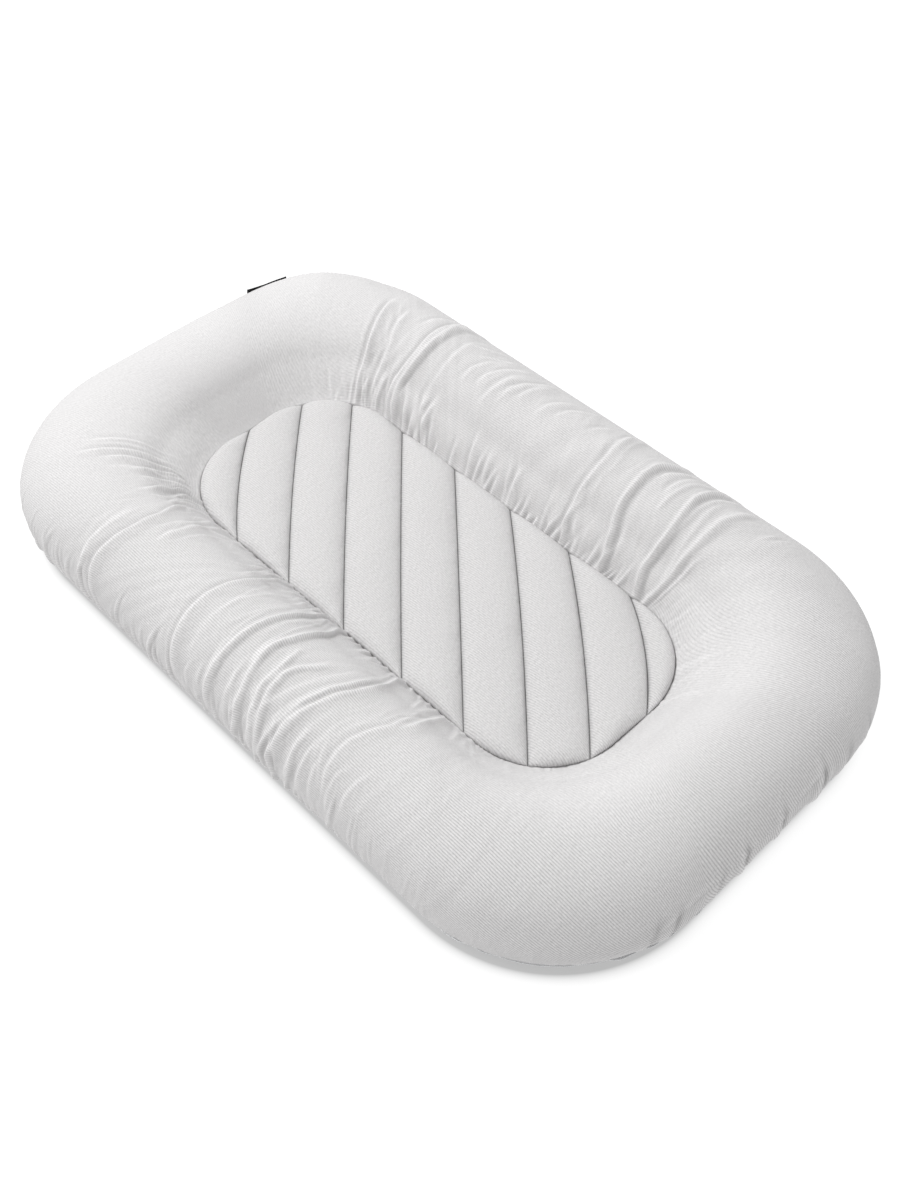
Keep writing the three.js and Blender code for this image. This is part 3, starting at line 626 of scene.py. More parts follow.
def filling_swells(address, side, share, seed):
    """Slow swells of the filling: three wandering waves 74, 23 and 9 millimetres long."""
    along = (address + np.where(side > 0, FAR_SHIFT, 0.0))[:, None]
    place = share[None, :]
    middle = np.sin(np.pi * np.clip(share, 0, 1))[None, :]
    sides = np.exp(-(np.abs(address) / 360) ** 6)[:, None]
    head = smooth_step(address, 380, 470)[:, None]
    swell = np.where(side > 0, FAR.swell, NEAR.swell)[:, None]
    height = (.9 - .6 * head) * middle * wandering(along + 70 * place, 74, seed + 1)
    height = height + swell * sides * middle * wandering(along - 90 * place, 23, seed + 2)
    return height + .22 * sides * wandering(along + 150 * place, 9, seed + 3)


def cover_height(stations, share, sizes):
    """Height of the cover over its smooth section, n x m, in millimetres.

    The sum of the placed gathers, the seeded puckers at both seams, the swells of the filling,
    the tucks and the flap. The ends stay smooth. The outer slope lies 1.1 lower, and the inner
    slope has a puff, a bell of 3.7 round a share of .895, which is lower at the head.
    """
    address, side = stations["address"], stations["side"]
    height = gathered_height(address, side, share, sizes)
    height += pucker_field(address, side, share, sizes.pucker_height / MM, sizes.seed)
    height += filling_swells(address, side, share, sizes.seed)
    height += outline_trim(address, side, share)
    # Both sides fade to one smooth shape where they meet, half-way along each end.
    meet = 1 - smooth_step(np.abs(address), 470, 556)
    height *= meet[:, None]
    for tuck in TUCKS:
        add_tuck(height, address, share, side, tuck)
    height += flap_relief(address, side, share)[0]
    height -= 1.1 * (1 - smooth_step(share, .14, .36))[None, :]
    head = np.where(side > 0, smooth_step(address, 305, 365), smooth_step(address, 400, 490))
    puff = 3.7 + .5 * np.where(side > 0, meet, -meet) - 2.3 * head
    height += puff[:, None] * np.exp(-np.abs((share - .895) / .075) ** 2.4)[None, :]
    return np.maximum(height, LOWEST_RELIEF)


# Mesh helpers -------------------------------------------------------------------------

def new_piece(name, points, faces, material, flat=None):
    """Makes a mesh object in metres from points in millimetres and quads or polygons."""
    mesh = bpy.data.meshes.new(name)
    mesh.from_pydata((np.asarray(points).reshape(-1, 3) * MM).tolist(), [], faces)
    mesh.polygons.foreach_set("use_smooth", np.ones(len(mesh.polygons), dtype=bool))
    if flat is not None:
        layer = mesh.uv_layers.new(name="flat")
        corners = np.empty(len(mesh.loops), dtype=np.int32)
        mesh.loops.foreach_get("vertex_index", corners)
        places = (np.asarray(flat).reshape(-1, 2) * MM)[corners]
        layer.data.foreach_set("uv", places.astype(np.float32).ravel())
    mesh.materials.append(material)
    mesh.update()
    piece = bpy.data.objects.new(name, mesh)
    bpy.context.scene.collection.objects.link(piece)
    return piece


def crease_depth(height, step):
    """How far each point lies under the mean of those about 4 and 9 mm along, in millimetres."""
    depth = np.zeros_like(height)
    for reach, weight in ((4, .6), (9, .4)):
        k = max(int(round(reach / step)), 1)
        depth += weight * ((np.roll(height, k, axis=0) + np.roll(height, -k, axis=0)) / 2 - height)
    return depth


def keep_values(piece, name, values):
    """Keeps one number per point on the mesh as an attribute."""
    layer = piece.data.attributes.new(name, "FLOAT", "POINT")
    layer.data.foreach_set("value", np.ascontiguousarray(values, dtype=np.float32).ravel())


def set_painted_shade(piece, depth):
    """Keeps the painted shade as crease: 0 on ridges (painted highlight), .5 on flat cloth, more in
    creases.
    """
    keep_values(piece, "crease", np.clip(.5 + .5 * depth / 1.6, 0, 2))


def grid_faces(rows, columns, wrap_rows=False, wrap_columns=False, flip=False):
    """Quads of a rows x columns grid as an index array, closed round either way if asked."""
    i = np.arange(rows if wrap_rows else rows - 1)
    j = np.arange(columns if wrap_columns else columns - 1)
    i, j = np.meshgrid(i, j, indexing="ij")
    down = (i + 1) % rows
    right = (j + 1) % columns
    quads = np.stack([i * columns + j, down * columns + j,
                      down * columns + right, i * columns + right], axis=-1)
    quads = quads.reshape(-1, 4)
    return quads[:, ::-1] if flip else quads


# Materials ----------------------------------------------------------------------------

def node(tree, kind, **settings):
    """Adds a shader node with its settings, laid out in rows of eight."""
    row, column = divmod(len(tree.nodes), 8)
    made = tree.nodes.new(kind)
    made.location = (200 * column, -280 * row)
    for key, value in settings.items():
        setattr(made, key, value)
    return made


def feed(tree, value, socket):
    """Links a signal or a socket to a socket, or sets it to a number or a tuple."""
    if isinstance(value, Signal):
        value = value.socket
    if isinstance(value, bpy.types.NodeSocket):
        tree.links.new(value, socket)
    elif value is not None:
        socket.default_value = value


class Signal:
    """A value on a shader tree. Sums, products and powers with it add Math nodes."""

    def __init__(self, tree, socket):
        self.tree = tree
        self.socket = socket

    def maths(self, operation, first, second=None):
        """One Math node on this signal's tree."""
        made = node(self.tree, "ShaderNodeMath", operation=operation)
        feed(self.tree, first, made.inputs[0])
        feed(self.tree, second, made.inputs[1])
        return Signal(self.tree, made.outputs[0])

    def __add__(self, other):
        return self.maths("ADD", self, other)

    def __sub__(self, other):
        return self.maths("SUBTRACT", self, other)

    def __rsub__(self, other):
        return self.maths("SUBTRACT", other, self)

    def __mul__(self, other):
        return self.maths("MULTIPLY", self, other)

    def __truediv__(self, other):
        return self.maths("DIVIDE", self, other)

    def __pow__(self, other):
        return self.maths("POWER", self, other)

    __radd__ = __add__
    __rmul__ = __mul__

    def __rpow__(self, other):
        return self.maths("POWER", other, self)

    def sine(self):
        """Sine of the value in radians."""
        return self.maths("SINE", self)

    def size(self):
        """The value without its sign."""
        return self.maths("ABSOLUTE", self)


def noise(tree, place, scale, detail, roughness=.5):
    """Noise from 0 to 1 at a place."""
    made = node(tree, "ShaderNodeTexNoise", noise_dimensions="3D")
    made.inputs["Scale"].default_value = scale
    made.inputs["Detail"].default_value = detail
    made.inputs["Roughness"].default_value = roughness
    feed(tree, place, made.inputs["Vector"])
    return Signal(tree, made.outputs[0])


def vector_maths(tree, operation, vector, other=None):
    """One Vector Math node on a vector socket; returns the node's own outputs."""
    made = node(tree, "ShaderNodeVectorMath", operation=operation)
    feed(tree, vector, made.inputs[0])
    feed(tree, other, made.inputs[1])
    return made.outputs


def object_place(tree):
    """The place on the piece, in object coordinates."""
    return node(tree, "ShaderNodeTexCoord").outputs["Object"]


def kept_value(tree, name):
    """A number that keep_values has put on the mesh."""
    return Signal(tree, node(tree, "ShaderNodeAttribute", attribute_name=name).outputs["Fac"])


def group_of(name, inputs, outputs):
    """Makes an empty shader group with named inputs (with defaults) and outputs."""
    tree = bpy.data.node_groups.new(name, "ShaderNodeTree")
    for label, kind, value in inputs:
        made = tree.interface.new_socket(name=label, in_out="INPUT", socket_type=kind)
        if value is not None:
            made.default_value = value
    for label, kind in outputs:
        tree.interface.new_socket(name=label, in_out="OUTPUT", socket_type=kind)
    given = node(tree, "NodeGroupInput").outputs
    return tree, given, node(tree, "NodeGroupOutput").inputs


def ribbed_weave_group():
    """Ribbed cloth: fine cords along V at a pitch across U, a slanting twill and fibre fuzz.

    A cord is |sin(pi u / pitch)|^0.55, where u sways a little. The twill is a sine across a
    slant, and the fuzz is the sum of two noises that are stretched along V. The group puts out
    a tint with painted shade in the grooves between the cords, and a height for the bump.
    """
    tree, given, out = group_of(
        "ribbed_weave",
        [("Pattern", "NodeSocketVector", None), ("Pitch", "NodeSocketFloat", .0026),
         ("Groove", "NodeSocketFloat", .2), ("Twill", "NodeSocketFloat", .12),
         ("Fuzz", "NodeSocketFloat", .2)],
        [("Tint", "NodeSocketFloat"), ("Height", "NodeSocketFloat")])
    pitch, groove, twill, fuzz = (Signal(tree, given[key])
                                  for key in ("Pitch", "Groove", "Twill", "Fuzz"))
    split = node(tree, "ShaderNodeSeparateXYZ")
    tree.links.new(given["Pattern"], split.inputs[0])
    u, v = Signal(tree, split.outputs[0]), Signal(tree, split.outputs[1])
    across = u + (noise(tree, given["Pattern"], 14, 1) - .5) * .0025
    cord = (across / pitch * np.pi).sine().size() ** .55
    slant = (u * 1.35 + v) / (pitch * .52)
    stretched = vector_maths(tree, "MULTIPLY", given["Pattern"], (1.0, .38, 1.0))[0]
    fibres = noise(tree, stretched, 1500, 3, .65) + noise(tree, stretched, 800, 2) - 1.0
    twill_part = (slant * (2 * np.pi)).sine() * .5 * twill
    fuzz_part = fibres * fuzz
    # The grooves between the cords get painted shade; the twill and fuzz are the weave's own tone.
    tint = 1.0 + twill_part * .5 - (1.0 - cord) * groove + fuzz_part * .8
    feed(tree, tint, out["Tint"])
    feed(tree, cord + (twill_part + fuzz_part), out["Height"])
    return tree


def broad_tone_group():
    """Broad, faint shades of washed cloth: 1 + amount (0.65 coarse + 0.35 fine noise)."""
    tree, given, out = group_of(
        "broad_tone", [("Place", "NodeSocketVector", None), ("Amount", "NodeSocketFloat", .05)],
        [("Tone", "NodeSocketFloat")])
    coarse = (noise(tree, given["Place"], 9, 2) - .5) * .65
    fine = (noise(tree, given["Place"], 46, 2) - .5) * .35
    feed(tree, 1.0 + (coarse + fine) * Signal(tree, given["Amount"]), out["Tone"])
    return tree


# A painted contact shadow: the floor's glow fades from SHADE_INSET millimetres inside the bulge,
# over SHADE_FADE metres, by SHADE_AMOUNT.
SHADE_INSET = 11
SHADE_FADE = .004
SHADE_AMOUNT = .55


def contact_shade_group():
    """Painted contact shadow on the floor's glow, along the lounger's outline, a rounded rectangle
    in metres.

    It is 1 - amount exp(-d / fade) at a distance d outside the outline.
    """
    tree, given, out = group_of("contact_shade", [("Place", "NodeSocketVector", None)],
                                [("Colour", "NodeSocketColor")])
    size = vector_maths(tree, "ABSOLUTE", given["Place"])[0]
    past = vector_maths(tree, "SUBTRACT", size, (END_STRAIGHT * MM, SIDE_STRAIGHT * MM, 1))[0]
    corner = vector_maths(tree, "MAXIMUM", past, (0, 0, 0))[0]
    reach = Signal(tree, vector_maths(tree, "LENGTH", corner)["Value"])
    away = reach - (OUTER_RADIUS - SHADE_INSET) * MM
    steps = away.maths("MAXIMUM", away, 0) / SHADE_FADE
    fading = away.maths("EXPONENT", steps * -1)
    feed(tree, 1.0 - fading * SHADE_AMOUNT, out["Colour"])
    return tree


def placed_group(tree, name, maker, **values):
    """Puts the named shader group into a tree, made on first use, with its own values."""
    placed = node(tree, "ShaderNodeGroup")
    placed.node_tree = bpy.data.node_groups.get(name) or maker()
    for key, value in values.items():
        feed(tree, value, placed.inputs[key])
    return placed.outputs


def new_material(name, colour, roughness, specular=.3):
    """A material with one Principled shader; returns the material, its tree and the shader."""
    material = bpy.data.materials.new(name)
    material.use_nodes = True
    tree = material.node_tree
    tree.nodes.clear()
    shader = node(tree, "ShaderNodeBsdfPrincipled")
    end = node(tree, "ShaderNodeOutputMaterial")
    tree.links.new(shader.outputs[0], end.inputs[0])
    shader.inputs["Base Color"].default_value = (*colour, 1)
    shader.inputs["Roughness"].default_value = roughness
    shader.inputs["Specular IOR Level"].default_value = specular
    return material, tree, shader


def tint_base(tree, shader, colour, factors):
    """Feeds the base colour with a colour times one or more signals."""
    result = colour
    for factor in factors:
        mix = node(tree, "ShaderNodeVectorMath", operation="SCALE")
        feed(tree, result, mix.inputs[0])
        feed(tree, factor, mix.inputs["Scale"])
        result = mix.outputs[0]
    feed(tree, result, shader.inputs["Base Color"])


def bump_surface(tree, shader, height, strength, depth):
    """Feeds the shader's normal with a bump of a height, depth metres deep."""
    bump = node(tree, "ShaderNodeBump")
    bump.inputs["Strength"].default_value = strength
    bump.inputs["Distance"].default_value = depth
    feed(tree, height, bump.inputs["Height"])
    tree.links.new(bump.outputs[0], shader.inputs["Normal"])


# Width in millimetres of the dark line along a row of stitches on a quilted cloth: painted shade
# of the stitched groove, with the needle holes' own darkness.
STITCH_LINE_WIDTH = .62


def cloth_material(name, colour, pitch, groove, twill=.12, fuzz=.2, depth=.00028, uses_flat=True,
                   tone=.06, crease=0.0, rib_shade=False, quilted=0.0):
    """Ribbed cloth on the flattened cloth map, or on object coordinates, with painted shade in
    creases.

    The tint is the weave times the broad tone times 1 - crease (depth - 1/2), where the depth is
    the painted shade that set_painted_shade keeps, with painted highlight on ridges. Where rib_shade
    is asked, its kept strength scales the painted shade in the rib grooves. A quilted cloth is
    darkened by quilted exp(-(g / width)^2) at g millimetres from its stitches: painted shade of the
    groove, with the needle holes' own darkness.
    """
    material, tree, shader = new_material(name, colour, .86, .18)
    shader.inputs["Sheen Weight"].default_value = .06
    shader.inputs["Sheen Roughness"].default_value = .5
    if uses_flat:
        pattern = node(tree, "ShaderNodeUVMap", uv_map="flat").outputs[0]
    else:
        pattern = object_place(tree)
    weave = placed_group(tree, "ribbed_weave", ribbed_weave_group, Pattern=pattern, Pitch=pitch,
                         Groove=kept_value(tree, "rib_shade") * groove if rib_shade else groove,
                         Twill=twill, Fuzz=fuzz)
    broad = placed_group(tree, "broad_tone", broad_tone_group, Place=object_place(tree),
                         Amount=tone)
    tones = [weave["Tint"], broad["Tone"]]
    # Painted shade in the creases and a painted highlight on the ridges, from the kept crease value.
    if crease:
        tones.append(1 + crease / 2 - kept_value(tree, "crease") * crease)
    # A painted shade line along each row of stitches, with the needle holes' own darkness.
    if quilted:
        gap = kept_value(tree, "stitch_gap")
        line = np.e ** (gap * gap * (-1 / STITCH_LINE_WIDTH ** 2))
        tones.append(1.0 - line * quilted)
    tint_base(tree, shader, colour, tones)
    bump_surface(tree, shader, weave["Height"], .8, depth)
    return material


def grained_material(name, colour, roughness, scale, amount, depth, specular=.3):
    """A finish with fine grain in object coordinates, such as plastic, felt or foam."""
    material, tree, shader = new_material(name, colour, roughness, specular)
    grain = noise(tree, object_place(tree), scale, 4)
    level = grain - .5
    tint_base(tree, shader, colour, [1.0 + level * amount])
    feed(tree, roughness + level * .2, shader.inputs["Roughness"])
    bump_surface(tree, shader, grain, .6, depth)
    return material


def thread_material(colour):
    """Twisted sewing thread: slanting plies across object coordinates."""
    material, tree, shader = new_material("sewing_thread", colour, .7, .25)
    ply = node(tree, "ShaderNodeTexWave", wave_type="BANDS", bands_direction="DIAGONAL")
    ply.inputs["Scale"].default_value = 900
    ply.inputs["Distortion"].default_value = .6
    tree.links.new(object_place(tree), ply.inputs["Vector"])
    tint_base(tree, shader, colour, [.86 + Signal(tree, ply.outputs[1]) * .22])
    return material


# Pieces -------------------------------------------------------------------------------

# The zip's slot lifts the cover's lower edge by SLOT_SHARE of the arc. The lift is taken up over
# the lowest SLOT_FADE of the arc, and it ends SLOT_END degrees into each corner.
SLOT_SHARE = .062
SLOT_FADE = .3
SLOT_END = 6.5
# The seam allowance past the inner seam, and the lining under the cover.
ALLOWANCE_RUN = .9
ALLOWANCE_DROP = 2.2
LINING_DEPTH = 1.7
LINING_ROWS = 16


def sizes_of(context):
    """The lounger's sizes on the scene."""
    return context.scene.lounger_sizes


def colours_of(context):
    """The lounger's colours on the scene."""
    return context.scene.lounger_colours


def opened_share(share, stations):
    """Shares of the arc at each station, n x m, raised where the zip's slot is open.

    The lift is (1 - smooth step) (1 - s / fade) of the slot's share, along the foot's straight.
    """
    foot = np.isclose(np.sin(stations["turn"]), -1)
    lean = np.degrees(np.arccos(np.clip(-np.sin(stations["turn"]), -1, 1)))
    lift = np.where(foot, 1.0, 1 - smooth_step(lean, 0, SLOT_END))[:, None] * SLOT_SHARE
    place = share[None, :]
    return place + lift * (1 - smooth_step(place, 0, SLOT_FADE)) * (1 - place / SLOT_FADE).clip(0)


def outward(stations):
    """Unit vectors that point out of the ring at each station, n x 1 x 2."""
    return np.stack([np.cos(stations["turn"]), np.sin(stations["turn"])], axis=-1)[:, None, :]


def flattened_cover(stations, share, back):
    """The cover laid flat, in millimetres: the crest stays, and the rest runs out and in from it.

    The run is the arc from the crest, and past the crest at the ends the distance in plan, so
    that the ribs stay parallel. The foot's ribs are skewed by a third of their run.
    Returns the flat places, the run and the crest's places, for the rows of the cover, the seam
    allowance and the lining.
    """
    crest_inset, crest_height = section_at(CREST_SHARE)
    rows = len(stations["turn"])
    crest_place = ring_points(stations, np.full((rows, 1), crest_inset),
                              np.full((rows, 1), crest_height))[..., :2]
    arc = np.concatenate([share, [1.01], back]) * SECTION_ARC
    past = CREST_SHARE * SECTION_ARC - arc
    insets = np.concatenate([section_at(share)[0], [SEAM_INSET], section_at(back)[0]])
    plan = crest_inset - insets
    blend = np.abs(np.cos(stations["turn"]))[:, None] ** 6
    mixed = plan[None, :] * (1 - blend) + past[None, :] * blend
    run = np.where(past[None, :] < 0, mixed, past[None, :])
    flat = crest_place + outward(stations) * run[..., None]
    x, y = crest_place[..., 0], crest_place[..., 1]
    skewed = np.where(y < 0, smooth_step(x, -190, -90) * (1 - smooth_step(x, -50, 80)), 0)
    flat[..., 0] -= .33 * skewed * np.maximum(run, 0)
    return flat, run, crest_place


def cover_painted_shade(stations, share, relief, step):
    """Painted shade on the cover's creases, tucks, seams and flap, and painted highlight on its
    ridges.
    """
    # The painted highlight on ridges is held at -.95 on the far side and -1.3 on the near one.
    lightest = np.where(stations["side"] > 0, -.95, -1.3)[:, None]
    depth = np.clip(crease_depth(relief, step), lightest, 1.6)
    depth += 4.0 * tuck_shade(stations["address"], share, stations["side"])
    # Painted shade along the base seam and in the gap of the inner seam.
    outer_seam_shade = 1.5 * (1 - smooth_step(share, .0, .03))
    inner_seam_shade = 5.5 * smooth_step(share, .991, .998)
    depth += outer_seam_shade[None, :] + inner_seam_shade[None, :]
    return depth + 1.9 * flap_relief(stations["address"], stations["side"], share)[1]


def rib_shade_strength(stations, run, crest_place):
    """How strong the painted shade in the rib grooves is: over the foot's outer slope most, at the
    head least.

    0.6 plus the long sides, 0.9 foot and -0.2 head, halved on the ends' inner slope.
    """
    y = crest_place[..., 1]
    foot = smooth_step(-y, 150, 320) * smooth_step(run, -30, 10)
    head = smooth_step(y, 120, 260)
    sides = np.exp(-(np.abs(stations["address"]) / 330) ** 6)[:, None]
    sides = sides * np.where(stations["side"] > 0, .62, .8)[:, None]
    inner = smooth_step(-run, 10, 40)
    return (.6 + sides + .9 * foot - .2 * head) * (1 - .5 * inner * (1 - sides))


class LOUNGER_OT_bolster(bpy.types.Operator):
    """Sew the gathered bolster cover round the ring"""

    bl_idname = "lounger.bolster"
    bl_label = "Bolster cover"

    def execute(self, context):
        sizes, colours = sizes_of(context), colours_of(context)
        step = sizes.station_step / MM
        stations = ring_stations(step, 2.4 * step)
        share = np.linspace(0, 1, int(round(SECTION_ARC / (sizes.row_step / MM))))
        smooth = ring_points(stations, *section_at(opened_share(share, stations)))
        relief = cover_height(stations, share, sizes)
        outer = smooth + surface_normals(smooth, True) * relief[..., None]
        # The seam allowance turns down past the inner seam, and a lining line runs back inside.
        rows = len(stations["turn"])
        turned = ring_points(stations, np.full((rows, 1), SEAM_INSET + ALLOWANCE_RUN),
                             np.full((rows, 1), SEAM_HEIGHT - ALLOWANCE_DROP))
        back = np.linspace(1, 0, LINING_ROWS)
        lining = ring_points(stations, *section_at(opened_share(back, stations)))
        lining = lining + surface_normals(lining, True) * LINING_DEPTH
        points = np.concatenate([outer, turned, lining], axis=1)
        flat, run, crest_place = flattened_cover(stations, share, back)
        material = cloth_material("bolster_cloth", tuple(colours.cloth), sizes.rib_pitch, .29,
                                  fuzz=.42, depth=.00018, crease=.36, rib_shade=True)
        faces = grid_faces(rows, points.shape[1], True, True).tolist()
        piece = new_piece("gathered_bolster", points, faces, material, flat)
        # Painted shade and highlight, kept on the cover for its material.
        depth = cover_painted_shade(stations, share, relief, step)
        set_painted_shade(piece, np.concatenate([depth, np.zeros((rows, 1 + LINING_ROWS))], axis=1))
        # The painted shade in the rib grooves, strongest where light grazes the ribs.
        keep_values(piece, "rib_shade", rib_shade_strength(stations, run, crest_place))
        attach(piece, "lounger")
        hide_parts("bolster_cover")
        return {"FINISHED"}


# The base cloth in section, as insets and heights: from the flat underside out to the base seam,
# round the lip and back inside. LIP_EDGE is its outermost point, and the LIP_OUTER first ones show.
LIP_LINE = np.array([
    (60, 0), (40, 0), (31.5, .02), (29, .35), (26, 1.9), (22, 4.7), (18.2, 7.4), (16.4, 8.2),
    (13, 8.1), (8.2, 8.1), (7.2, 8.5), (7.0, 9.0), (7.3, 9.5), (8.5, 9.7), (13.5, 9.7),
    (16.2, 9.75), (19.5, 8.6), (24, 5.5), (28, 2.8), (31, 1.75), (40, 1.6), (60, 1.6)])
LIP_OUTER = 13
LIP_STEP = 2.0


def lip_stations(sizes):
    """Stations of the base lip and how far its edge is drawn in and up at each, in millimetres.

    It is drawn in by a wandering wave, by notches at the tucks and under the near side's gathers.
    """
    stations = ring_stations(LIP_STEP, LIP_STEP)
    address, side = stations["address"], stations["side"]
    wave = .5 + .5 * wandering(address + np.where(side > 0, FAR_SHIFT, 0.0), 11, sizes.seed + 11)
    notch = np.zeros_like(address)
    for flank, spot, _, _, depth in TUCKS:
        notch += np.where(side == flank, depth * np.exp(-((address - spot) / 3.2) ** 2), 0)
    tucked = 3.6 * np.exp(-(address / 430) ** 8) * (side < 0)
    pull = 1.5 * wave + 3.0 * notch + tucked
    rise = .7 * wave + 1.0 * notch
    return stations, pull[:, None], rise[:, None]


def arc_along(line):
    """Run along a line of points, from 0 at its first."""
    return np.concatenate([[0], np.cumsum(np.linalg.norm(np.diff(line, axis=0), axis=1))])


class LOUNGER_OT_base(bpy.types.Operator):
    """Lay the base cloth with its turned-up edge and pressed lip"""

    bl_idname = "lounger.base"
    bl_label = "Base cloth"

    def execute(self, context):
        sizes, colours = sizes_of(context), colours_of(context)
        stations, pull, rise = lip_stations(sizes)
        inset, height = LIP_LINE[None, :, 0], LIP_LINE[None, :, 1]
        lip = smooth_step(-inset, -17.0, -9.5)
        points = ring_points(stations, inset + lip * pull, height + lip * rise)
        rows, columns = points.shape[:2]
        faces = grid_faces(rows, columns, True, False).tolist()
        corners = np.arange(rows) * columns
        faces += [corners[::-1].tolist(), (corners + columns - 1).tolist()]
        flat = points[..., :2].copy()
        outer = arc_along(LIP_LINE[:LIP_OUTER])
        flat[:, :LIP_OUTER] = points[:, :1, :2] + outward(stations) * outer[None, :, None]
        material = cloth_material("base_cloth", tuple(colours.underside), .0014, .12, .2, .25,
                                  crease=.4)
        piece = new_piece("base_cloth_panel", points, faces, material, flat)
        inset, height = LIP_LINE.T
        # Painted light on the lip's turned-up top, and painted shade in from the base seam.
        under = .5 * smooth_step(inset, 12.6, 15.2)
        under = under - .9 * (1 - smooth_step(inset, 9, 12.6)) * (height > 8)
        set_painted_shade(piece, np.tile(under, (rows, 1)))
        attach(piece, "lounger")
        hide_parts("base_panel")
        return {"FINISHED"}


# The quilting: lines across the pad at an angle and a pitch, each bowed a little, as measured.
QUILT_ANGLE = np.radians(47.2)
QUILT_PITCH = 51.3
QUILT_OFFSET = -5.0
QUILT_BOWS = np.array([-6.0, -4.0, -3.0, -.5, 1.0, 2.0, 3.0, 4.2])
QUILT_LINES = [QUILT_OFFSET + (k - 3.5) * QUILT_PITCH for k in range(len(QUILT_BOWS))]
# The pad's outline, the height of its lower edge and of its stitched rim.
PAD_INSET = 139.7
PAD_LOW = 34.3
PAD_RIM = 35.4
PAD_HALF_X, PAD_HALF_Y, PAD_RADIUS = rounded_rectangle(PAD_INSET)
# Half of a run along the quilting lines that reaches past the pad.
QUILT_RUN = 340


def quilt_coordinates(x, y):
    """Distance across the channels and run along them: x and y turned by the quilting's angle."""
    across = -x * np.sin(QUILT_ANGLE) + y * np.cos(QUILT_ANGLE)
    along = x * np.cos(QUILT_ANGLE) + y * np.sin(QUILT_ANGLE)
    return across, along


def quilt_place(across, along):
    """x and y of a place across and along the channels."""
    x = -across * np.sin(QUILT_ANGLE) + along * np.cos(QUILT_ANGLE)
    y = across * np.cos(QUILT_ANGLE) + along * np.sin(QUILT_ANGLE)
    return x, y


def pad_half_width(y):
    """Half-width of the pad's rounded rectangle at each y: its corners are quarter circles."""
    over = np.clip(np.abs(y) - (PAD_HALF_Y - PAD_RADIUS), 0, PAD_RADIUS)
    return PAD_HALF_X - PAD_RADIUS + np.sqrt(np.maximum(PAD_RADIUS ** 2 - over ** 2, 0))


def pad_edge_distance(x, y):
    """Distance inward from the pad's outline: its radius less the distance from its corners."""
    qx = np.abs(x) - (PAD_HALF_X - PAD_RADIUS)
    qy = np.abs(y) - (PAD_HALF_Y - PAD_RADIUS)
    outside = np.hypot(np.maximum(qx, 0), np.maximum(qy, 0)) + np.minimum(np.maximum(qx, qy), 0)
    return PAD_RADIUS - outside


def quilt_spans():
    """Middle and half-length of the run of each quilting line inside the pad, as two arrays."""
    along = np.arange(-QUILT_RUN, QUILT_RUN, 1.0)
    ends = []
    for line in QUILT_LINES:
        inside = along[pad_edge_distance(*quilt_place(line, along)) > 0]
        ends.append((inside[0], inside[-1]))
    first, last = np.array(ends).T
    return (first + last) / 2, (last - first) / 2


QUILT_MIDDLES, QUILT_HALVES = quilt_spans()


def stitch_bow(number, along):
    """How far a quilting line bows from its chord: bow(1 - q^2), q from -1 to 1 along the line."""
    share = (along - QUILT_MIDDLES[number]) / QUILT_HALVES[number]
    return QUILT_BOWS[number] * np.clip(1 - share ** 2, 0, 1)


def nearest_stitch(x, y):
    """Number of the nearest quilting line, the signed distance from it and the run along it."""
    across, along = quilt_coordinates(x, y)
    gaps = np.stack([across - line - stitch_bow(k, along) for k, line in enumerate(QUILT_LINES)])
    number = np.argmin(np.abs(gaps), axis=0)
    return number, np.take_along_axis(gaps, number[None], axis=0)[0], along


def pad_height(x, y, sizes):
    """Height of the quilted pad in millimetres.

    Each channel is a rounded pillow, (1 - s^2.2)^0.55 of its crown, where s is the share of
    the way from its middle to a stitch line. It falls the same way into the rim, and short
    puckers run across each stitch line and in from the rim. Wide, faint swells lie under all.
    """
    number, d, along = nearest_stitch(x, y)
    s = np.clip(1 - np.abs(d) / (QUILT_PITCH / 2), 0, 1)
    pillow = (1 - s ** 2.2) ** .55
    edge = np.maximum(pad_edge_distance(x, y), 0)
    rim = .22 + .78 * (1 - np.clip(1 - edge / 15, 0, 1) ** 2.4) ** .6
    shape = pillow * rim
    z = PAD_RIM + 1.4 + sizes.channel_crown / MM * shape
    # Keeps the puckers of each line and of its two sides apart.
    shift = number * 613.0 + np.where(d > 0, 97.0, 0.0)
    fade = 1 - smooth_step(np.abs(d), 12, 23)
    pucker = wandering(along + shift + .35 * d, 8.5, sizes.seed + 21) * np.exp(-np.abs(d) / 6.5)
    crease = wandering(along + shift * 1.7 + .6 * d, 21, sizes.seed + 22) * np.exp(-np.abs(d) / 15)
    z = z + (.8 * pucker + .9 * crease) * smooth_step(np.abs(d), 0, 3) * rim * fade
    around = np.arctan2(y, x) * 190
    inward = wandering(around + 40 * np.sign(x), 9, sizes.seed + 23)
    inward = inward * np.exp(-edge / 8) * smooth_step(edge, 0, 3)
    broad = wandering(x + .3 * y + 900, 58, sizes.seed + 24)
    broad = broad * wandering(y - .2 * x + 900, 43, sizes.seed + 25)
    return z + .8 * inward + .7 * broad * shape


def pad_grid(sizes):
    """Grid of the pad's upper cloth: as wide as the outline, with rows closer round the corners."""
    step = sizes.pad_step / MM
    straight = PAD_HALF_Y - PAD_RADIUS
    turns = np.linspace(0, np.pi / 2, int(round(PAD_RADIUS * np.pi / 2 / step)) + 1)
    tip = straight + PAD_RADIUS * np.sin(turns)
    count = int(round(2 * straight / step))
    body = np.arange(1, count) / count
    y = np.concatenate([-tip[::-1], -straight + 2 * straight * body, tip])
    columns = int(round(2 * (HALF_WIDTH - PAD_INSET) / step)) + 1
    x = pad_half_width(y)[:, None] * np.linspace(-1, 1, columns)[None, :]
    y = np.repeat(y[:, None], columns, axis=1)
    return np.stack([x, y, pad_height(x, y, sizes)], axis=-1)


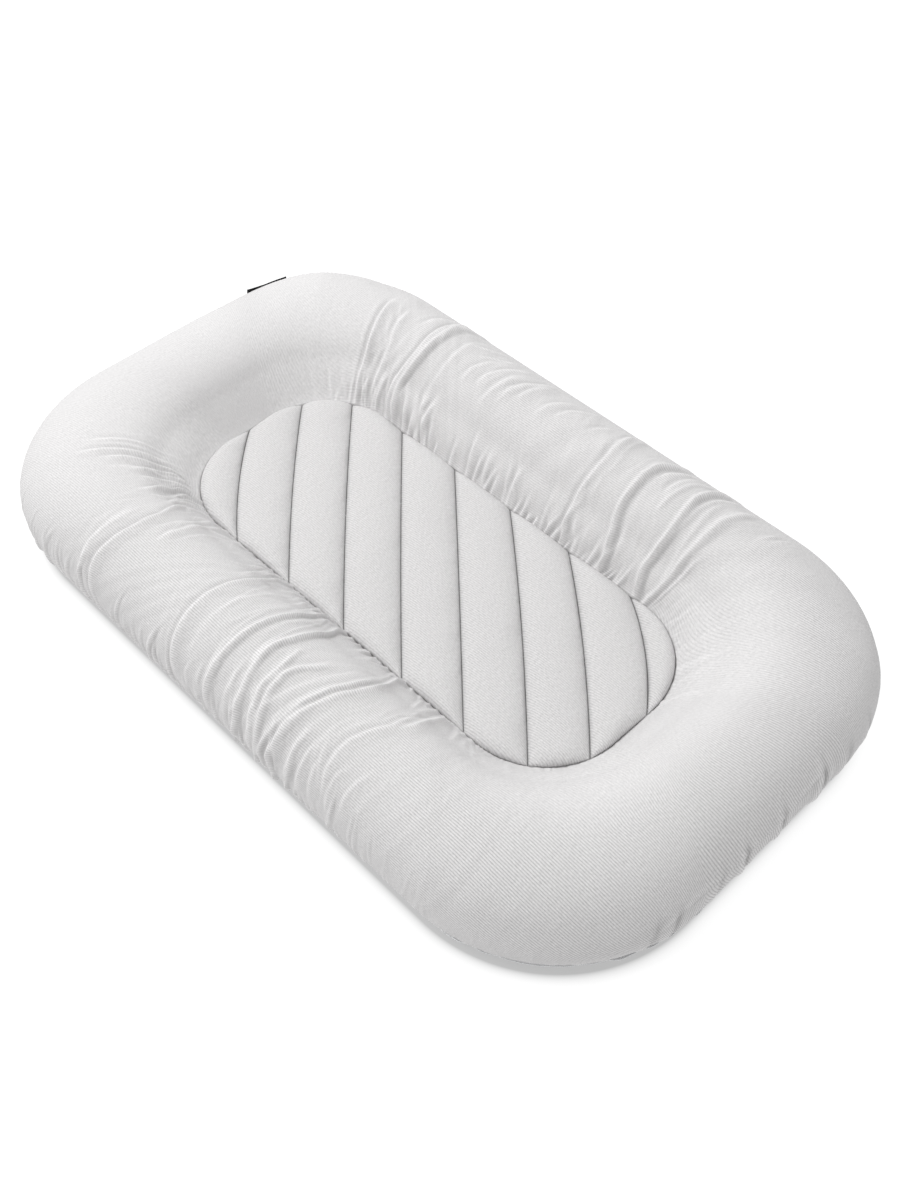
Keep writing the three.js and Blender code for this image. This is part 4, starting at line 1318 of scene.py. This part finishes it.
class LOUNGER_OT_pad(bpy.types.Operator):
    """Quilt the pad in diagonal channels"""

    bl_idname = "lounger.pad"
    bl_label = "Quilted pad"

    def execute(self, context):
        sizes, colours = sizes_of(context), colours_of(context)
        grid_points = pad_grid(sizes)
        rows, columns = grid_points.shape[:2]
        upper = grid_points.reshape(-1, 3)
        # A wall goes down from the grid's edge to one flat face.
        number_of = np.arange(rows * columns).reshape(rows, columns)
        loop = np.concatenate([number_of[0, :-1], number_of[:-1, -1],
                               number_of[-1, :0:-1], number_of[:0:-1, 0]])
        lower = upper[loop].copy()
        lower[:, 2] = PAD_LOW
        k = np.arange(len(loop))
        low = rows * columns + k
        wall = np.stack([loop, low, np.roll(low, -1), np.roll(loop, -1)], axis=-1)
        faces = grid_faces(rows, columns, flip=True).tolist() + wall.tolist() + [low[::-1].tolist()]
        points = np.vstack([upper, lower])
        material = cloth_material("quilt_cloth", tuple(.94 * value for value in colours.cloth),
                                  sizes.rib_pitch * .95, .24, fuzz=.5, crease=.4, quilted=.74)
        piece = new_piece("quilted_pad", points, faces, material, points[:, :2])
        number, gap, _ = nearest_stitch(points[:, 0], points[:, 1])
        keep_values(piece, "stitch_gap", gap * np.where(number % 2, -1, 1))
        gap = np.abs(gap)
        # Painted shade along the stitch lines and round the rim, with a faint painted highlight on
        # the channels.
        stitch_shade = 1.2 * np.exp(-(gap / 1.6) ** 2) + .6 * np.exp(-gap / 4.5) - .3
        edge = np.maximum(pad_edge_distance(points[:, 0], points[:, 1]), 0)
        set_painted_shade(piece, np.minimum(np.maximum(stitch_shade, 1.3 * np.exp(-edge / .55)), 1.7))
        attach(piece, "lounger")
        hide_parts("quilted_top", "quilt_wadding")
        return {"FINISHED"}


def stitch_shape(length, width, sides=6):
    """A low stitch: rings of an ellipse along a shallow arch, closed by its end points."""
    turn = np.arange(sides) * 2 * np.pi / sides
    points = [(-.5 * length, 0, -.35 * width)]
    for stop, full in ((-.34, .82), (0, 1), (.34, .82)):
        arch = .25 * width * (1 - (2 * stop) ** 2)
        points += [(stop * length, .5 * width * full * np.cos(t),
                    arch + .42 * width * full * np.sin(t)) for t in turn]
    points.append((.5 * length, 0, -.35 * width))
    faces = [(0, 1 + (k + 1) % sides, 1 + k) for k in range(sides)]
    for ring in range(2):
        a, b = 1 + ring * sides, 1 + (ring + 1) * sides
        faces += [(a + k, a + (k + 1) % sides, b + (k + 1) % sides) for k in range(sides)]
        faces += [(a + k, b + (k + 1) % sides, b + k) for k in range(sides)]
    last = len(points) - 1
    faces += [(last, last - sides + k, last - sides + (k + 1) % sides) for k in range(sides)]
    return np.array(points), np.array(faces)


def stitch_run(line, pitch, length, width):
    """Stitches laid on a line at a pitch, upright: points and faces of all of them."""
    run = arc_along(line)
    places = np.arange(pitch / 2, run[-1] - pitch / 2, pitch)

    def on_line(place):
        """Points on the line at runs along it."""
        return np.stack([np.interp(place, run, line[:, k]) for k in range(3)], axis=-1)

    centre = on_line(places)
    forward = on_line(places + .4 * length) - on_line(places - .4 * length)
    forward /= np.linalg.norm(forward, axis=1, keepdims=True)
    side = np.cross([0.0, 0.0, 1.0], forward)
    side /= np.linalg.norm(side, axis=1, keepdims=True)
    up = np.cross(forward, side)
    shape, faces = stitch_shape(length, width)
    points = centre[:, None] + shape[None, :, :1] * forward[:, None]
    points = points + shape[None, :, 1:2] * side[:, None]
    points = points + shape[None, :, 2:] * up[:, None]
    offsets = (np.arange(len(centre)) * len(shape))[:, None, None]
    return points.reshape(-1, 3), (faces[None] + offsets).reshape(-1, 3)


# How far a quilting stitch lies over the pad and in from its edge, and its width.
QUILT_STITCH_LIFT = .12
QUILT_STITCH_EDGE = 2
QUILT_STITCH_WIDTH = .75
# The hem's stitches: their inset and height on the lip, the share of its pull and rise that they
# follow, and their width.
HEM_INSET = 12.8
HEM_HEIGHT = 9.78
HEM_FOLLOW = .6
HEM_STITCH_WIDTH = .7


class LOUNGER_OT_stitching(bpy.types.Operator):
    """Stitch the quilting lines and the hem of the base"""

    bl_idname = "lounger.stitching"
    bl_label = "Stitching"

    def execute(self, context):
        sizes, colours = sizes_of(context), colours_of(context)
        material = thread_material(tuple(colours.thread))
        pitch, length = sizes.stitch_pitch / MM, sizes.stitch_length / MM
        points, faces, count = [], [], 0
        for k, line in enumerate(QUILT_LINES):
            along = np.arange(10 - QUILT_RUN, QUILT_RUN - 10, .5)
            x, y = quilt_place(line + stitch_bow(k, along), along)
            inside = pad_edge_distance(x, y) > QUILT_STITCH_EDGE
            x, y = x[inside], y[inside]
            path = np.stack([x, y, pad_height(x, y, sizes) + QUILT_STITCH_LIFT], axis=-1)
            row_points, row_faces = stitch_run(path, pitch, length, QUILT_STITCH_WIDTH)
            points.append(row_points)
            faces.append(row_faces + count)
            count += len(row_points)
        piece = new_piece("quilting_stitches", np.vstack(points), np.vstack(faces).tolist(),
                          material)
        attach(piece, "lounger")
        stations, pull, rise = lip_stations(sizes)
        path = ring_points(stations, HEM_INSET + HEM_FOLLOW * pull,
                           HEM_HEIGHT + HEM_FOLLOW * rise)[:, 0]
        points, faces = stitch_run(np.vstack([path, path[:1]]), .9 * pitch, .8 * length,
                                   HEM_STITCH_WIDTH)
        piece = new_piece("hem_stitches", points, faces.tolist(), material)
        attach(piece, "lounger")
        return {"FINISHED"}


def strip_piece(name, outer, inner, u, v, material):
    """A thin closed strip from the grids of its outer and inner faces, n x m x 3.

    u and v are the outer face's flattened coordinates, which broadcast to n x m. The inner face
    mirrors them.
    """
    points = np.concatenate([outer, inner[:, ::-1]], axis=1)
    rows, columns = points.shape[:2]
    faces = grid_faces(rows, columns, False, True).tolist()
    faces += [list(range(columns))[::-1], [(rows - 1) * columns + k for k in range(columns)]]
    flat = [np.broadcast_to(part, outer.shape[:2]) for part in (u, v)]
    flat = np.stack([np.concatenate([part, part[:, ::-1]], axis=1) for part in flat], axis=-1)
    return new_piece(name, points, faces, material, flat)


# The label on the head end's outer slope: the angle of its middle round the corner, its length
# and the radius at which that is measured, its lower and upper angle on the section's ellipse,
# its developed width, and its faces.
LABEL_MIDDLE = np.radians(72.5)
LABEL_LENGTH = 45.0
LABEL_RADIUS = 150.0
LABEL_ANGLES = (5.0, 39.0)
LABEL_WIDTH = 30
LABEL_ROWS = 40
LABEL_COLUMNS = 26


def label_slope(sizes):
    """The cover's surface under the label and its normals, with the cover's own relief."""
    turn = LABEL_MIDDLE + np.linspace(-.5, .5, LABEL_ROWS) * LABEL_LENGTH / LABEL_RADIUS
    ones = np.ones(LABEL_ROWS)
    stations = {"fx": ones, "fy": ones, "turn": turn, "side": ones,
                "address": SIDE_STRAIGHT + OUTER_RADIUS * turn}
    inset, height = ellipse_point(np.linspace(*LABEL_ANGLES, LABEL_COLUMNS))
    base = ring_points(stations, np.tile(inset, (LABEL_ROWS, 1)), np.tile(height, (LABEL_ROWS, 1)))
    normal = surface_normals(base, False)
    rising = slice(0, int(CREST_SHARE * len(SECTION_HEIGHT)))
    shares = np.linspace(0, 1, len(SECTION_HEIGHT))
    share = np.interp(height, SECTION_HEIGHT[rising], shares[rising])
    return base + normal * np.maximum(cover_height(stations, share, sizes), 0)[..., None], normal


class LOUNGER_OT_label(bpy.types.Operator):
    """Sew the small bare label on the head end's outer slope"""

    bl_idname = "lounger.label"
    bl_label = "Side label"

    def execute(self, context):
        base, normal = label_slope(sizes_of(context))
        u = np.linspace(-1, 1, LABEL_ROWS)[:, None]
        v = np.linspace(0, 1, LABEL_COLUMNS)[None, :]
        # It lies on its lower edge, stands off towards the upper one and curls at its ends.
        curl = .5 * np.abs(u) ** 6 * v
        lift = .75 + .9 * v ** 2 + curl + .35 * np.sin(3 * u + 4 * v) * v * (1 - .4 * v)
        material = cloth_material("label_satin", tuple(colours_of(context).label), .0006,
                                  .3, .3, .3, .00008)
        piece = strip_piece("bare_label", base + normal * (lift + .45)[..., None],
                            base + normal * (lift - .1)[..., None],
                            np.linspace(0, LABEL_LENGTH, LABEL_ROWS)[:, None],
                            np.linspace(0, LABEL_WIDTH, LABEL_COLUMNS)[None, :], material)
        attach(piece, "lounger")
        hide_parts("side_label")
        return {"FINISHED"}


# The zip's tapes in section, as y and z, and the numbers of their woven form.
ZIP_TAPES = {
    "zip_tape_upper": np.array([(-387.1, 20.1), (-389.9, 24.3), (-392.75, 28.6)]),
    "zip_tape_lower": np.array([(-382.75, 13.8), (-381.9, 12.6), (-381.3, 11.6), (-378.7, 9.4),
                                (-375.5, 6.95)]),
}
TAPE_HALF_LENGTH = 86
TAPE_HALF_THICKNESS = .34
TAPE_ROWS = 180
TAPE_COLUMNS = 14
TAPE_WAVE = .12
ZIP_MOULDED = ("zip_teeth_upper", "zip_teeth_lower", "zip_top_stop_upper", "zip_top_stop_lower",
               "zip_bottom_stop", "zip_slider", "zip_pull")


def tape_faces(line):
    """The two faces of a tape whose section follows a line, with a faint wave along its free edge.

    Returns both grids, the run across the tape and the run along it.
    """
    arc = arc_along(line)
    across = np.linspace(0, arc[-1], TAPE_COLUMNS)
    yz = np.column_stack([np.interp(across, arc, line[:, 0]), np.interp(across, arc, line[:, 1])])
    run = np.gradient(yz, axis=0)
    run /= np.hypot(run[:, 0], run[:, 1])[:, None]
    normal = np.column_stack([-run[:, 1], run[:, 0]])
    x = np.linspace(-TAPE_HALF_LENGTH, TAPE_HALF_LENGTH, TAPE_ROWS)
    wave = TAPE_WAVE * wandering(x, 7, 41)[:, None] * smooth_step(across, 1.5, arc[-1])[None, :]
    faces = []
    for side in (TAPE_HALF_THICKNESS, -TAPE_HALF_THICKNESS):
        place = yz[None] + normal[None] * (side + wave)[..., None]
        along = np.repeat(x[:, None, None], TAPE_COLUMNS, axis=1)
        faces.append(np.concatenate([along, place], axis=-1))
    return faces[0], faces[1], across, x


def finish_nodes(names, material):
    """Gives CAD nodes a material in place of their own."""
    for name in names:
        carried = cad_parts[name].data.materials
        carried.clear()
        carried.append(material)


class LOUNGER_OT_zip(bpy.types.Operator):
    """Weave the zip's tapes and finish its moulded parts"""

    bl_idname = "lounger.zip"
    bl_label = "Zip"

    def execute(self, context):
        colours = colours_of(context)
        weave = cloth_material("zip_tape_weave", tuple(colours.underside), .0011, .25, .6, .2,
                               .0001)
        for name, line in ZIP_TAPES.items():
            outer, inner, across, x = tape_faces(line)
            piece = strip_piece("woven_" + name, outer, inner, across[None, :], x[:, None], weave)
            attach(piece, "lounger")
            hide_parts(name)
        plastic = grained_material("moulded_plastic", tuple(colours.zip_plastic), .38, 1400, .06,
                                   .00002, .5)
        finish_nodes(ZIP_MOULDED, plastic)
        return {"FINISHED"}


class LOUNGER_OT_inside(bpy.types.Operator):
    """Finish the casing, fibre, foam and backing inside"""

    bl_idname = "lounger.inside"
    bl_label = "Inside layers"

    def execute(self, context):
        casing = cloth_material("casing_cloth", (.72, .72, .71), .0008, .1, .1, .3, .0001,
                                uses_flat=False)
        fibre = grained_material("fibre_filling", (.8, .8, .79), .95, 260, .12, .0008, .1)
        foam = grained_material("cut_foam", (.78, .76, .68), .9, 700, .18, .0004, .15)
        finish_nodes(("inner_case_top", "inner_case_base", "quilt_backing"), casing)
        finish_nodes(("bolster_filling",), fibre)
        finish_nodes(("mattress_foam",), foam)
        return {"FINISHED"}


# The camera that was fitted to the photo: its place, its axes and its lens in millimetres.
CAMERA_PLACE = (-.5440, -.6044, .9526)
CAMERA_RIGHT = (.7189, -.6951, -.006)
CAMERA_UP = (.535, .5478, .6432)
CAMERA_BACK = (-.4438, -.4655, .7657)
CAMERA_LENS = 39.93
CAMERA_SENSOR = 36
# The soft lights: name, place and power. All have one size and one target.
LIGHTS = (("key_light", (-1.2, .35, 2.3), 27), ("back_light", (.3, 1.7, 2.0), 29),
          ("fill_light", (1.5, -.9, 1.7), 7))
LIGHT_SIZE = .8
LIGHT_TARGET = (0, 0, .03)
AIR_STRENGTH = .54
FLOOR_GLOW = .92
FLOOR_REACH = 7.0
FLOOR_DROP = .0004


def area_light(name, place, power):
    """A square soft light aimed at the lounger."""
    data = bpy.data.lights.new(name, "AREA")
    data.shape = "SQUARE"
    data.size = LIGHT_SIZE
    data.energy = power
    lamp = bpy.data.objects.new(name, data)
    lamp.location = place
    aim = Vector(LIGHT_TARGET) - Vector(place)
    lamp.rotation_euler = aim.to_track_quat("-Z", "Y").to_euler()
    bpy.context.scene.collection.objects.link(lamp)


def studio_floor(colour):
    """The floor: a wide square just under the lounger, which glows but for a painted contact shadow.
    """
    material, tree, shader = new_material("studio_floor", colour, .9, .1)
    glow = placed_group(tree, "contact_shade", contact_shade_group, Place=object_place(tree))
    feed(tree, glow["Colour"], shader.inputs["Emission Color"])
    shader.inputs["Emission Strength"].default_value = FLOOR_GLOW
    mesh = bpy.data.meshes.new("studio_floor")
    corners = [(x * FLOOR_REACH, y * FLOOR_REACH, 0)
               for x, y in ((-1, -1), (1, -1), (1, 1), (-1, 1))]
    mesh.from_pydata(corners, [], [(0, 1, 2, 3)])
    mesh.materials.append(material)
    floor = bpy.data.objects.new("studio_floor", mesh)
    floor.location.z = -FLOOR_DROP
    bpy.context.scene.collection.objects.link(floor)


def photo_camera():
    """The camera that looks as the photo does."""
    data = bpy.data.cameras.new("photo_camera")
    data.lens = CAMERA_LENS
    data.sensor_width = CAMERA_SENSOR
    data.sensor_fit = "AUTO"
    data.clip_start = .05
    data.clip_end = 50
    camera = bpy.data.objects.new("photo_camera", data)
    turn = Matrix((CAMERA_RIGHT, CAMERA_UP, CAMERA_BACK)).transposed().to_4x4()
    camera.matrix_world = Matrix.Translation(Vector(CAMERA_PLACE)) @ turn
    bpy.context.scene.collection.objects.link(camera)
    return camera


class LOUNGER_OT_stage(bpy.types.Operator):
    """Set the pale floor, the soft lights and the camera"""

    bl_idname = "lounger.stage"
    bl_label = "Stage"

    def execute(self, context):
        studio_floor(tuple(colours_of(context).floor))
        for name, place, power in LIGHTS:
            area_light(name, place, power)
        world = bpy.data.worlds.new("studio_air")
        world.use_nodes = True
        back = world.node_tree.nodes["Background"]
        back.inputs[0].default_value = (1, 1, 1, 1)
        back.inputs[1].default_value = AIR_STRENGTH
        context.scene.world = world
        context.scene.camera = photo_camera()
        context.scene.view_settings.view_transform = "Standard"
        return {"FINISHED"}


STEPS = ("bolster", "base", "pad", "stitching", "label", "zip", "inside", "stage")


class LOUNGER_PT_panel(bpy.types.Panel):
    """Lists the lounger's pieces"""

    bl_idname = "LOUNGER_PT_panel"
    bl_label = "Infant lounger"
    bl_space_type = "VIEW_3D"
    bl_region_type = "UI"
    bl_category = "Lounger"

    def draw(self, context):
        for step in STEPS:
            self.layout.operator("lounger." + step)
        for settings in (context.scene.lounger_sizes, context.scene.lounger_colours):
            box = self.layout.box()
            for key in settings.__annotations__:
                box.prop(settings, key)


CLASSES = (LoungerSizes, LoungerColours, LOUNGER_OT_bolster, LOUNGER_OT_base, LOUNGER_OT_pad,
           LOUNGER_OT_stitching, LOUNGER_OT_label, LOUNGER_OT_zip, LOUNGER_OT_inside,
           LOUNGER_OT_stage, LOUNGER_PT_panel)


def register():
    """Registers the classes and puts the settings on the scene."""
    for entry in CLASSES:
        bpy.utils.register_class(entry)
    bpy.types.Scene.lounger_sizes = bpy.props.PointerProperty(type=LoungerSizes)
    bpy.types.Scene.lounger_colours = bpy.props.PointerProperty(type=LoungerColours)


def unregister():
    """Takes the settings and the classes away again."""
    del bpy.types.Scene.lounger_colours
    del bpy.types.Scene.lounger_sizes
    for entry in reversed(CLASSES):
        bpy.utils.unregister_class(entry)


def main():
    """Builds every piece in order."""
    register()
    for step in STEPS:
        getattr(bpy.ops.lounger, step)()


if __name__ == "__main__":
    main()
